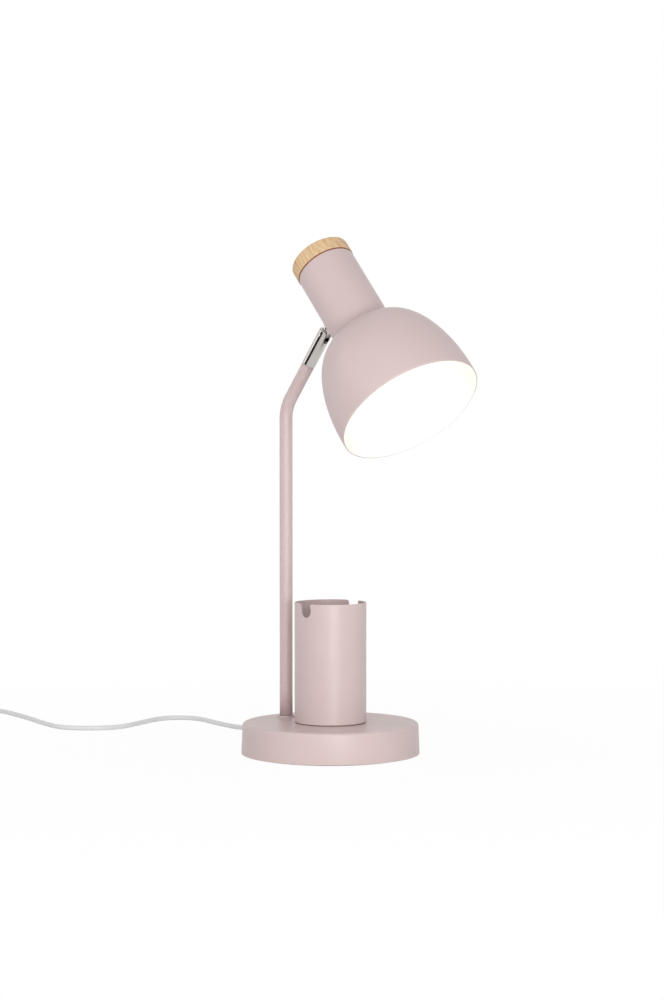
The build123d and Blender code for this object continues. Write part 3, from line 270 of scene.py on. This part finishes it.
plasticSurface = {
    "clouds": 45.0,          # noise scales per metre: tone and gloss
    "gloss": 150.0,
    "tones": (0.975, 1.02),
    "grainStrength": 0.25,
    "grainDepth": 0.00001,   # m
}
plastics = {  # grain is its noise scale, per metre
    "whitePlastic": {"colour": (0.78, 0.77, 0.74), "roughness": (0.32, 0.42), "grain": 1500.0},
    "cordJacket": {"colour": (0.73, 0.73, 0.74), "roughness": (0.34, 0.46), "grain": 1400.0},
    "darkPlastic": {"colour": (0.016, 0.014, 0.014), "roughness": (0.42, 0.55), "grain": 1600.0},
    # a seal piece whose dark red-brown also paints the shade of the seam under the cup
    "sealWithSeamShade": {"colour": (0.10, 0.035, 0.03), "roughness": (0.60, 0.75), "grain": 1200.0},
    "footFoam": {"colour": (0.030, 0.030, 0.030), "roughness": (0.80, 0.95), "grain": 900.0},
}


def plasticMaterial(name, values):
    finish = Finish(name, {"IOR": 1.46})
    low, high = plasticSurface["tones"]
    finish.join("Base Color", finish.ramp(finish.noise(plasticSurface["clouds"]), [
        (0.35, tinted(values["colour"], low)), (0.65, tinted(values["colour"], high)),
    ]))
    gloss = finish.noise(plasticSurface["gloss"])
    finish.join("Roughness", finish.spread(gloss, *values["roughness"]))
    finish.join("Normal", finish.bump(
        finish.noise(values["grain"], 2.0),
        plasticSurface["grainStrength"], plasticSurface["grainDepth"],
    ))
    return finish.material


# Raw cast iron of the ballast

iron = {
    "colour": (0.035, 0.034, 0.033),
    "tones": (0.7, 1.5),
    "roughness": (0.55, 0.8),
    "pits": 420.0,          # noise scale, per metre
    "pitDepth": 0.00025,    # m
}


def ironMaterial(name, values):
    finish = Finish(name, {"Metallic": 0.8})
    grains = finish.noise(values["pits"], 4.0, 0.65)
    low, high = values["tones"]
    finish.join("Base Color", finish.ramp(grains, [
        (0.3, tinted(values["colour"], low)), (0.7, tinted(values["colour"], high)),
    ]))
    finish.join("Roughness", finish.spread(grains, *values["roughness"]))
    finish.join("Normal", finish.bump(grains, 0.6, values["pitDepth"]))
    return finish.material


pinkPaint = paintMaterial("pinkPaint", paint)
chrome = metalMaterial("chrome", metals["chrome"], turnInto(socketPlace))
zincSteel = metalMaterial("zincSteel", metals["zincSteel"])
brass = metalMaterial("brass", metals["brass"])
copper = metalMaterial("copper", metals["copper"])
whitePlastic = plasticMaterial("whitePlastic", plastics["whitePlastic"])
cordJacket = plasticMaterial("cordJacket", plastics["cordJacket"])
darkPlastic = plasticMaterial("darkPlastic", plastics["darkPlastic"])
sealWithSeamShade = plasticMaterial("sealWithSeamShade", plastics["sealWithSeamShade"])
footFoam = plasticMaterial("footFoam", plastics["footFoam"])
castIron = ironMaterial("castIron", iron)
print("finishes made")


# Mesh builders

def meshPiece(name, verts, faces, materials, faceMaterial=None, smooth=True):
    # object at the origin, from points (n, 3) in metres and a list of arrays of corner numbers
    mesh = bpy.data.meshes.new(name)
    rows = [block.reshape(-1, block.shape[-1]).tolist() for block in faces]
    mesh.from_pydata(verts.tolist(), [], sum(rows, []))
    for material in materials:
        mesh.materials.append(material)
    if faceMaterial is not None:
        mesh.polygons.foreach_set("material_index", faceMaterial.astype(np.int32))
    mesh.polygons.foreach_set("use_smooth", np.full(len(mesh.polygons), smooth))
    mesh.update()
    piece = bpy.data.objects.new(name, mesh)
    bpy.context.scene.collection.objects.link(piece)
    return piece


def gridFaces(rows, cols, wrapRows=False):
    # quads of a grid that is closed sideways; vertex (i, j) has the number i * cols + j
    i = np.arange(rows if wrapRows else rows - 1)[:, None]
    j = np.arange(cols)[None, :]
    up = (i + 1) % rows
    side = (j + 1) % cols
    return np.stack([i * cols + j, i * cols + side, up * cols + side, up * cols + j], -1)


# Profile points (r, h) swept round the z of a place: at angle a a point stands at
# place * (r cos a, r sin a, h).
def sweptRound(profile, place, segments):
    angle = np.linspace(0, 2 * math.pi, segments, endpoint=False)
    r, h = profile[:, :1], profile[:, 1:]
    x, y, z = np.broadcast_arrays(r * np.cos(angle), r * np.sin(angle), h)
    return np.stack([x, y, z, np.ones_like(x)], -1).reshape(-1, 4) @ place.T


# Ring: a closed profile swept round, such as a thin shell. Its points run counter-clockwise in
# the (r, h) half plane, so that the faces look outwards.
def turnedRing(name, profile, place, materials, segments=192, bandMaterial=None):
    verts = sweptRound(profile, place, segments)[:, :3] * mm
    faces = gridFaces(len(profile), segments, wrapRows=True)[:, :, ::-1]
    index = None if bandMaterial is None else np.repeat(bandMaterial, segments)
    return meshPiece(name, verts, [faces], materials, index)


# Solid: a profile from the lower pole to the upper pole, both on the axis, swept round. The
# rows between the poles are a grid, and a fan of triangles closes it at each pole.
def turnedSolid(name, profile, place, materials, segments=192, bandMaterial=None):
    ring = sweptRound(profile[1:-1], place, segments)
    poles = sweptRound(profile[[0, -1]] * (0, 1), place, 1)
    j = np.arange(segments)
    beside = (j + 1) % segments
    top = (len(profile) - 3) * segments
    lowFan = np.stack([np.full(segments, len(ring)), beside, j], -1)
    highFan = np.stack([np.full(segments, len(ring) + 1), top + j, top + beside], -1)
    faces = [gridFaces(len(profile) - 2, segments), lowFan, highFan]
    index = None
    if bandMaterial is not None:
        order = [*range(1, len(bandMaterial) - 1), 0, len(bandMaterial) - 1]
        index = np.repeat(bandMaterial[order], segments)
    return meshPiece(name, np.vstack([ring, poles])[:, :3] * mm, faces, materials, index)


def arcPoints(centre, radius, start, end, count):
    # centre + radius (cos t, sin t), with t from start to end in degrees
    t = np.radians(np.linspace(start, end, count))
    return np.stack([centre[0] + radius * np.cos(t), centre[1] + radius * np.sin(t)], -1)


def bezierPoints(control, count):
    # cubic (1-u)^3 a + 3 (1-u)^2 u b + 3 (1-u) u^2 c + u^3 d
    a, b, c, d = np.asarray(control, float)
    u = np.linspace(0, 1, count)[:, None]
    return (1 - u) ** 3 * a + 3 * (1 - u) ** 2 * u * b + 3 * (1 - u) * u ** 2 * c + u ** 3 * d


def settle(piece, body, slot, *replaced):
    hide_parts(*replaced)
    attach(piece, body)
    return piece


# Cords: the free stretch to the switch, and the rest through the coil to the plug

cord = {
    "diameter": 4.2,
    "lead": [              # corner points from the strain relief to the switch, mm
        (-98.97, 32.16, 8.0), (-117.99, 38.34, 8.0), (-161, 54, 2.1), (-203, 63, 2.1),
        (-246, 77, 2.1), (-267, 56, 2.1), (-257, 20, 2.1), (-243, -23, 2.1),
        (-277, -56, 2.1), (-310, -49, 2.1), (-364, -29, 2.1), (-424, -12, 2.1),
        (-446, -24, 2.1), (-451.72, -48.65, 6.0), (-439, -69, 6.0),
    ],
    "leadLength": 0.520,   # m
    "heading": -58.0,      # degrees, the way the switch points
    "switchOut": (-405.085, -123.275, 6.0),
    "linkRuns": [(14.0, 6.0), (18.0, 2.1), (14.0, 2.1)],
    "coilRadius": 32.4,
    "coilInward": 6,       # half turns of the lower layer
    "coilOutward": 7,      # half turns of the upper layer
    "coilStep": 4.75,
    "coilDip": 0.6,
    "perHalfTurn": 10,
    "tailRuns": (18.0, 26.0, 18.0),
    "tailTurn": 30.0,
    "farLength": 1.215,    # m
}


def splineCord(name, points, diameter, material):
    # NURBS line with the route's corner points as its control points, and a round bevel
    data = bpy.data.curves.new(name, "CURVE")
    data.dimensions = "3D"
    spline = data.splines.new("NURBS")
    spline.points.add(len(points) - 1)
    flat = np.ones((len(points), 4))
    flat[:, :3] = np.asarray(points) * mm
    spline.points.foreach_set("co", flat.ravel())
    spline.order_u = 3
    spline.use_endpoint_u = True
    spline.resolution_u = 8
    data.bevel_depth = diameter * mm / 2
    data.bevel_resolution = 5
    data.use_fill_caps = True
    data.materials.append(material)
    piece = bpy.data.objects.new(name, data)
    bpy.context.scene.collection.objects.link(piece)
    return piece


def heading(degrees):
    return np.stack([np.cos(np.radians(degrees)), np.sin(np.radians(degrees))], -1)


# Coil: half turn k is a half circle of radius (r(k) + r(k+1)) / 2 about the middle of its ends,
# where r shrinks by half a step each half turn on the way in and grows on the way out. In the half
# turn between the layers the cord climbs by step (1 - cos(pi f)) / 2. The points lie outside the
# line by 1 / cos(half the angle between them).
def coilPoints(values, start):
    count = values["coilInward"] + 1 + values["coilOutward"]
    inward = values["coilInward"]
    corners = np.arange(count + 1)
    stepsIn = np.where(corners <= inward, corners, 2 * inward + 1 - corners)
    radii = values["coilRadius"] - values["coilStep"] / 2 * stepsIn
    radii = radii - np.where(stepsIn == inward, values["coilDip"], 0)
    along = (np.arange(count * values["perHalfTurn"]) + 0.5) / values["perHalfTurn"]
    half = np.floor(along).astype(int)
    radius = (radii[half] + radii[half + 1]) / 2
    shift = (radii[half] - radii[half + 1]) / 2
    right = values["heading"] - 90
    centre = np.asarray(start[:2]) - values["coilRadius"] * heading(right)
    out = radius / math.cos(math.pi / values["perHalfTurn"] / 2)
    flat = centre + shift[:, None] * heading(right + 180 * half)
    flat = flat + out[:, None] * heading(right + 180 * along)
    climb = (1 - np.cos(math.pi * (along - half))) / 2
    layer = np.where(half < inward, 0, np.where(half == inward, climb, 1))
    z = values["diameter"] / 2 + values["coilStep"] * layer
    end = centre + radii[-1] * heading(right + 180 * count)
    return np.column_stack([flat, z]), end


def farRoute(values):
    # down from the switch, through the coil, and along the tail to the plug
    points = [np.array(values["switchOut"])]
    for run, height in values["linkRuns"]:
        points.append(np.array([*(points[-1][:2] + run * heading(values["heading"])), height]))
    turns, end = coilPoints(values, points[-1])
    top = values["diameter"] / 2 + values["coilStep"]
    tail = []
    for index, run in enumerate(values["tailRuns"]):
        end = end + run * heading(values["heading"] + index * values["tailTurn"])
        tail.append(np.array([*end, top]))
    return np.vstack([points[:-1], turns, tail])


leadCord = splineCord("leadCord", cord["lead"], cord["diameter"], cordJacket)
farCord = splineCord("farCord", farRoute(cord), cord["diameter"], cordJacket)
settle(leadCord, "stand", "cord_jacket", "cord_lead")
settle(farCord, "stand", "cord_jacket", "cord_link", "cord_coil", "cord_tail")
print("cords laid")


# Base: pressed steel dish

base = {
    "radius": 75.0,
    "draft": 0.9,
    "ground": 0.8,
    "edgeRound": 2.6,
    "lowerRound": 0.6,
    "wall": 1.2,
    "rings": (60.0, 30.0, 3.0),  # radii of the flat top's own rows
    "arcSteps": (7, 17, 9),      # lower edge, upper edge and the inside of the upper edge
    "sides": 256,
}


# Section: the outer side with its draft, an arc of the top edge and the flat top, then the same
# line one wall in, back to the open foot.
def baseProfile(values):
    bottom, top, wall = values["ground"], lamp["baseHeight"], values["wall"]
    edge, low = values["edgeRound"], values["lowerRound"]
    outer = values["radius"]
    upper = outer - values["draft"]
    lowSteps, topSteps, innerSteps = values["arcSteps"]
    return np.vstack([
        arcPoints((outer - low, bottom + low), low, -90, 0, lowSteps),
        arcPoints((upper - edge, top - edge), edge, 0, 90, topSteps),
        [(ring, top) for ring in values["rings"]],
        [(ring, top - wall) for ring in values["rings"][::-1]],
        arcPoints((upper - edge, top - edge), edge - wall, 90, 0, innerSteps),
        [(outer - wall, bottom)],
    ])


baseShell = turnedRing("baseShell", baseProfile(base), basePlace, [pinkPaint], base["sides"])
settle(baseShell, "stand", "pink_paint", "base_cover")
print("base made")


# Post: bent tube

post = {"arcSteps": 25, "lowerSteps": 12, "upperSteps": 6, "sides": 64}


# Line of the post in the plane y = 0: straight up, an arc that turns by the lean, and straight
# on to the swivel.
def postLine(values):
    radius = lamp["bendRadius"]
    cut = radius * math.tan(lean / 2)
    foot = np.array([-lamp["postOffset"], lamp["baseHeight"]])
    bendStart = np.array([-lamp["postOffset"], lamp["cornerHeight"] - cut])
    t = np.linspace(0, lean, values["arcSteps"])
    arc = bendStart + radius * np.stack([1 - np.cos(t), np.sin(t)], -1)
    lower = foot + np.linspace(0, 1, values["lowerSteps"])[:-1, None] * (bendStart - foot)
    run = np.linspace(0, lamp["pivotRun"] - lamp["socketBelow"] - cut, values["upperSteps"])
    upper = arc[-1] + run[1:, None] * np.array([math.sin(lean), math.cos(lean)])
    return np.vstack([lower, arc, upper])


# Pipe: point (s, a) = line(s) + R (cos a n(s) + sin a Y), where n is the line's normal in its
# plane. The outer wall runs up the line and the inner wall comes back.
def pipe(name, line, outer, inner, sides, material):
    tangent = np.gradient(line, axis=0)
    tangent = tangent / np.linalg.norm(tangent, axis=1)[:, None]
    normal = np.stack([tangent[:, 1], -tangent[:, 0]], -1)
    angle = np.linspace(0, 2 * math.pi, sides, endpoint=False)
    line, normal = np.vstack([line, line[::-1]]), np.vstack([normal, normal[::-1]])
    radius = np.repeat([outer, inner], len(tangent))[:, None]
    x = line[:, :1] + radius * np.cos(angle) * normal[:, :1]
    z = line[:, 1:] + radius * np.cos(angle) * normal[:, 1:]
    verts = np.stack([x, radius * np.sin(angle), z], -1).reshape(-1, 3)
    return meshPiece(name, verts * mm, [gridFaces(len(line), sides, wrapRows=True)], [material])


postPipe = pipe(
    "post", postLine(post), lamp["postRadius"], lamp["postRadius"] - lamp["postWall"],
    post["sides"], pinkPaint,
)
settle(postPipe, "stand", "pink_paint", "post_tube")
print("post made")


# Shade: neck and dome spun in one piece, painted outside and white inside, with the bulb's light
# painted on the inside as an even glow

shade = {
    "rim": 61.0,
    "domeHeight": 82.2,
    "skirt": (62.5, 43.3),
    "shoulder": 47.9,
    "neck": 25.3,
    "neckTop": 155.6,
    "topRound": 0.8,
    "crease": 2.5,
    "wall": 1.0,
    "hole": 5.2,
    "lip": 0.12,           # how far the trimmed edge stands below the rim
    "lipShares": (0.75, 0.3),  # where its two edges lie in the wall
    "steps": {"dome": 72, "crease": 9, "neck": 8, "top": 6, "sides": 256},
    "inside": (0.86, 0.855, 0.82),
    # glow and warm: painted light, the bulb's light on the white inside given as emission
    "glow": 0.15,
    "warm": (1.0, 0.99, 0.86),
}


# One face of the shade, a wall's distance inwards: a cubic from the rim to the neck's foot, an
# arc at the crease, the straight neck and its top with the nipple's hole.
def shadeLine(values, wall):
    foot, neck = values["domeHeight"] - wall, values["neck"] - wall
    crease, top = values["crease"] + wall, values["neckTop"] - wall
    edge, steps = values["topRound"], values["steps"]
    dome = bezierPoints([
        (values["rim"] - wall, 0), (values["skirt"][0] - wall, values["skirt"][1]),
        (values["shoulder"] - wall / 2, foot), (neck, foot),
    ], steps["dome"])
    neckRows = np.linspace(foot + 2 * crease, top - 2 * edge, steps["neck"])
    return np.vstack([
        dome[dome[:, 0] > neck + crease],
        arcPoints((neck + crease, foot + crease), crease, 270, 180, steps["crease"]),
        np.stack([np.full(len(neckRows), neck), neckRows], -1),
        arcPoints((neck - edge, top - edge), edge, 0, 90, steps["top"]),
        [(neck / 2, top), (values["hole"], top)],
    ])


def litWhiteMaterial(values):
    # white paint with the bulb's light painted on it as a glow that is the same all over
    finish = Finish("shadeWhitePaintedLight", {
        "IOR": 1.46, "Emission Strength": values["glow"], "Emission Color": (*values["warm"], 1),
    })
    finish.join("Base Color", finish.ramp(finish.noise(25.0), [
        (0.3, tinted(values["inside"], 0.985)), (0.7, tinted(values["inside"], 1.01)),
    ]))
    finish.join("Roughness", finish.spread(finish.noise(80.0), 0.45, 0.55))
    finish.join("Normal", finish.bump(finish.noise(1000.0), 0.3, 0.00001))
    return finish.material


shadeWhitePaintedLight = litWhiteMaterial(shade)
outerLine = shadeLine(shade, 0)
innerLine = shadeLine(shade, shade["wall"])[::-1]
lipEdge = shade["rim"] - shade["wall"] * np.array(shade["lipShares"])
shadeProfile = np.vstack([outerLine, innerLine, np.stack([lipEdge, [-shade["lip"]] * 2], -1)])
shadeBands = np.zeros(len(shadeProfile), int)
shadeBands[len(outerLine):-2] = 1
shadeShell = turnedRing(
    "shadeShell", shadeProfile, headPlace, [pinkPaint, shadeWhitePaintedLight], shade["steps"]["sides"],
    shadeBands,
)
settle(
    shadeShell, "head", "shade_paint", "shade_skirt", "shade_belly", "shade_shoulder",
    "shade_crown", "shade_neck",
)
print("shade made")


# Wooden cap, with a groove above the neck whose faces are painted dark as the groove's shade

cap = {
    "radius": 25.8,
    "height": 13.2,
    "round": 1.6,
    "grooveRadius": 24.7,
    "grooveHeight": 0.75,
    "bevel": 0.35,
    "pale": (0.640, 0.450, 0.262),
    "middle": (0.590, 0.365, 0.188),
    "dark": (0.470, 0.240, 0.100),
    # painted shade: dark brown given to the groove above the neck
    "grooveShade": (0.270, 0.100, 0.055),
    "heart": (0.075, 0.055),   # m from the cap's axis to the middle of the tree's rings
    "slant": (0.10, 0.16, 0),  # turn of the grain against the cap's axis
    "ringScale": 85.0,         # one growth ring is 0.314 / ringScale m wide
    "streaks": 380.0,          # noise scales per metre, and how far they are drawn out
    "streakDraw": 0.06,
    "fibres": 900.0,
    "fibreDraw": 0.05,
    "fibreDepth": 0.00004,     # m
    "shares": (0.16, 0.66, 0.42),  # of rings, streaks and fibres in the tone
    "sides": 192,
    "edgeSteps": 12,
}


# Section from the underside's pole: the groove, the bevelled lower edge, the side, an arc of
# the upper edge and the flat top.
def capProfile(values):
    bottom = shade["neckTop"] + 0.02
    top = shade["neckTop"] + values["height"]
    edge, lip, outer = values["round"], bottom + values["grooveHeight"], values["radius"]
    return np.vstack([
        [(0, bottom), (8, bottom), (20, bottom), (values["grooveRadius"] - 0.1, bottom)],
        [(values["grooveRadius"], bottom + 0.05), (values["grooveRadius"], lip - 0.05)],
        [(values["grooveRadius"] + 0.15, lip), (outer - values["bevel"], lip)],
        [(outer - 0.08, lip + 0.6 * values["bevel"]), (outer, lip + 1.4 * values["bevel"])],
        arcPoints((outer - edge, top - edge), edge, 0, 90, values["edgeSteps"]),
        [(18, top), (9, top), (0, top)],
    ])


# Growth rings about a line beside the cap, nearly along its axis, so the side shows long streaks
# and the top shows arcs; streaks and fine fibres run along the axis.
def woodMaterial(values):
    finish = Finish("paleWood", {"IOR": 1.5})
    local = finish.mapped(rotation=turnInto(headPlace))
    centre = Vector(rimCentre) * mm
    offset = Matrix(headPlace[:3, :3].tolist()).inverted() @ centre
    heart = (values["heart"][0] - offset.x, values["heart"][1] - offset.y, -offset.z)
    trunk = finish.mapped(location=heart, place=local)
    slanted = finish.mapped(rotation=values["slant"], place=trunk)
    rings = finish.add("ShaderNodeTexWave", {"Vector": slanted}, {
        "Scale": values["ringScale"], "Distortion": 9.0, "Detail": 3.0, "Detail Scale": 0.6,
    }, wave_type="RINGS", rings_direction="Z").outputs["Fac"]
    drawn = finish.mapped(scale=(1, 1, values["fibreDraw"]), place=local)
    fibre = finish.noise(values["fibres"], 4.0, 0.6, drawn)
    drawn = finish.mapped(scale=(1, 1, values["streakDraw"]), place=local)
    streak = finish.noise(values["streaks"], 3.0, 0.55, drawn)
    ringShare, streakShare, fibreShare = values["shares"]
    tone = finish.combine("MULTIPLY", fibre, fibreShare)
    tone = finish.combine("MULTIPLY_ADD", rings, ringShare, tone)
    tone = finish.combine("MULTIPLY_ADD", streak, streakShare, tone)
    finish.join("Base Color", finish.ramp(tone, [
        (0.40, values["dark"]), (0.50, values["middle"]), (0.66, values["pale"]),
        (0.82, tinted(values["pale"], 1.1)),
    ]))
    finish.join("Roughness", finish.spread(fibre, 0.42, 0.56))
    finish.join("Normal", finish.bump(fibre, 0.25, values["fibreDepth"]))
    return finish.material


paleWood = woodMaterial(cap)
# dark wood colour that paints the shade in the groove
grooveShadeWood = plasticMaterial(
    "grooveShadeWood", {"colour": cap["grooveShade"], "roughness": (0.7, 0.85), "grain": 900.0}
)
capShape = capProfile(cap)
# the underside's outer ring, the groove and the step out to the bevel take the groove's painted
# shade
capBands = np.zeros(len(capShape) - 1, int)
capBands[2:7] = 1
woodCap = turnedSolid(
    "woodCap", capShape, headPlace, [paleWood, grooveShadeWood], cap["sides"], capBands
)
settle(woodCap, "head", "pale_wood", "wood_cap")
print("cap made")


# Strain relief: ribbed boot where the cord leaves the base

relief = {
    "inner": 71.35,     # start along the cord's line, from the base's axis
    "wallAt": 74.9,
    "end": 104.06,
    "bore": 2.16,
    "flange": 5.2,
    "groove": 3.6,
    "root": 4.4,
    "tip": 3.0,
    "ribs": 6,
    "ribDepth": 0.35,
    "height": 8.0,
    "angle": 162.0,     # degrees round the base
}


# Section along the cord: flange, groove in the cover's wall, flange, then a taper whose radius
# is root + (tip - root) s + depth sin^2(pi n s), with s from 0 at the flange to 1 at the tip.
def reliefProfile(values):
    wall, flange, depth = values["wallAt"], values["flange"], values["ribDepth"]
    s = np.linspace(0, 1, 20 * values["ribs"] + 1)
    start = wall + 2.4
    taper = values["root"] + (values["tip"] - depth - values["root"]) * s
    ribbed = taper + depth * np.sin(math.pi * values["ribs"] * s) ** 2
    return np.vstack([
        [(values["bore"], values["inner"]), (flange, values["inner"])],
        [(flange, values["inner"] + 1.9), (values["groove"], values["inner"] + 2.0)],
        [(values["groove"], wall + 0.1), (flange - 0.2, wall + 0.12), (flange, wall + 0.4)],
        [(flange, wall + 1.7), (flange - 0.4, wall + 2.2)],
        np.stack([ribbed, start + (values["end"] - start) * s], -1),
        [(values["bore"], values["end"])],
    ])


exitDir = (*heading(relief["angle"]), 0)
reliefPlace = frameMatrix((0, 0, relief["height"]), (0, 0, 1), exitDir)
reliefBoot = turnedRing("reliefBoot", reliefProfile(relief), reliefPlace, [cordJacket], 48)
settle(reliefBoot, "stand", "cord_jacket", "strain_relief")
print("strain relief made")


# Bulb

bulb = {"glow": 0.9, "warm": (1.0, 0.97, 0.88), "opal": (0.86, 0.85, 0.82)}


def bulbMaterial(values):
    finish = Finish("opalGlobe", {
        "IOR": 1.5, "Emission Strength": values["glow"], "Emission Color": (*values["warm"], 1),
    })
    finish.join("Base Color", finish.ramp(finish.noise(40.0), [
        (0.3, tinted(values["opal"], 0.98)), (0.7, tinted(values["opal"], 1.02)),
    ]))
    finish.join("Roughness", finish.spread(finish.noise(300.0), 0.22, 0.30))
    return finish.material


opalGlobe = bulbMaterial(bulb)


# Finishes of the nodes that stay

nodeFinishes = [
    (pinkPaint, ["pen_cup", "post_collar"]),
    (chrome, ["swivel_socket", "swivel_tongue", "swivel_pin"]),
    (zincSteel, [
        "bottom_plate", "plate_screws", "cup_screws", "clamp_screws", "foot_insert", "post_nut",
        "post_washer", "stud_nut", "nipple_nut", "nipple_washer", "cap_nipple", "bulb_cap",
        "screw_shell", "switch_screws", "plug_pins",
    ]),
    (brass, ["cap_insert", "centre_contact", "switch_contacts"]),
    (copper, ["terminal_cores"]),
    (whitePlastic, [
        "holder_cap", "holder_skirt", "holder_carrier", "bulb_housing", "cord_clamp",
        "terminal_block",
    ]),
    (cordJacket, [
        "cord_inner", "post_lead", "head_lead", "switch_bottom", "switch_top", "switch_rocker",
        "plug_body",
    ]),
    (darkPlastic, ["outer_saddle", "inner_saddle"]),
    (sealWithSeamShade, ["cup_seal"]),
    (footFoam, ["foot_pad"]),
    (castIron, ["ballast"]),
    (opalGlobe, ["bulb_globe"]),
]
for material, names in nodeFinishes:
    for name in names:
        nodes[name].data.materials.clear()
        nodes[name].data.materials.append(material)
print("nodes finished")


# Studio: floor, world, lamps, and a dark card that only mirrors see

studio = {
    "floor": (0.93, 0.93, 0.93),
    "half": 6.0,         # m from the middle to the floor's edge
    "clear": 0.95,       # share of plain white that the camera sees in the floor near the lamp
    "near": 0.15,        # m, where the share starts to grow
    "far": 0.7,          # m, from here on the floor is plain white
    "world": 0.565,      # strength of the white world, which is 1 for direct rays
    "lamps": {           # size, watts and place, m
        "key": ((1.0, 1.4), 11.5, (1.25, -1.35, 1.0)),
        "fill": ((1.6, 1.6), 6.0, (-1.6, -1.6, 1.2)),
        "low": ((0.5, 0.4), 7.0, (1.06, -0.75, 0.10)),
    },
    "target": (0, 0, 0.2),
    "card": ((-0.80, -0.85), (-0.10, -0.85), 0.6),  # two feet and the height, m
    "cardGrey": (0.015, 0.014, 0.013),
}


def seenDirect(finish):
    # 1 for camera, mirror and see-through rays, 0 for the rest
    path = finish.add("ShaderNodeLightPath").outputs
    mirrored = finish.combine("MAXIMUM", path["Is Camera Ray"], path["Is Glossy Ray"])
    return finish.combine("MAXIMUM", mirrored, path["Is Transmission Ray"])


def floorMaterial(values):
    finish = Finish("floor", {
        "Roughness": 0.9, "Specular IOR Level": 0.0, "Base Color": (*values["floor"], 1),
    })
    away = finish.add("ShaderNodeVectorMath", {0: finish.place}, operation="LENGTH")
    clear = finish.add("ShaderNodeMapRange", {"Value": away.outputs["Value"]}, {
        "From Min": values["near"], "From Max": values["far"], "To Min": values["clear"],
    }).outputs["Result"]
    white = finish.add("ShaderNodeEmission", values={"Strength": 1.0})
    share = finish.combine("MULTIPLY", seenDirect(finish), clear)
    mixed = finish.add("ShaderNodeMixShader", {
        0: share, 1: finish.shader.outputs[0], 2: white.outputs[0],
    })
    finish.tree.links.new(mixed.outputs[0], finish.end.inputs["Surface"])
    return finish.material


def stageSheet(name, corners, material):
    sheet = meshPiece(name, np.array(corners, float), [np.array([[0, 1, 2, 3]])], [material])
    return sheet


def makeFloor(values):
    edge = values["half"]
    corners = [(-edge, -edge, 0), (edge, -edge, 0), (edge, edge, 0), (-edge, edge, 0)]
    stageSheet("floor", corners, floorMaterial(values))


def makeCard(values):
    (ax, ay), (bx, by), top = values["card"]
    dark = plasticMaterial(
        "cardBlack", {"colour": values["cardGrey"], "roughness": (0.8, 0.9), "grain": 300.0}
    )
    card = stageSheet("card", [(ax, ay, 0), (bx, by, 0), (bx, by, top), (ax, ay, top)], dark)
    card.visible_camera = False
    card.visible_diffuse = False
    card.visible_shadow = False


def makeWorld(values):
    world = bpy.data.worlds.new("studio")
    bpy.context.scene.world = world
    world.use_nodes = True
    tree = world.node_tree
    background = tree.nodes["Background"]
    background.inputs["Color"].default_value = (1, 1, 1, 1)
    path = tree.nodes.new("ShaderNodeLightPath")
    seen = path.outputs["Is Camera Ray"]
    for kind in ("Is Glossy Ray", "Is Transmission Ray"):
        either = tree.nodes.new("ShaderNodeMath")
        either.operation = "MAXIMUM"
        tree.links.new(seen, either.inputs[0])
        tree.links.new(path.outputs[kind], either.inputs[1])
        seen = either.outputs["Value"]
    level = tree.nodes.new("ShaderNodeMapRange")
    level.inputs["To Min"].default_value = values["world"]
    tree.links.new(seen, level.inputs["Value"])
    tree.links.new(level.outputs["Result"], background.inputs["Strength"])


def areaLamp(name, size, power, place, target):
    data = bpy.data.lights.new(name, "AREA")
    data.shape = "RECTANGLE"
    data.size, data.size_y = size
    data.energy = power
    light = bpy.data.objects.new(name, data)
    light.location = place
    light.rotation_euler = (Vector(target) - Vector(place)).to_track_quat("-Z", "Y").to_euler()
    bpy.context.scene.collection.objects.link(light)


makeFloor(studio)
makeCard(studio)
makeWorld(studio)
for name, (size, power, place) in studio["lamps"].items():
    areaLamp(name, size, power, place, studio["target"])
print("studio set")
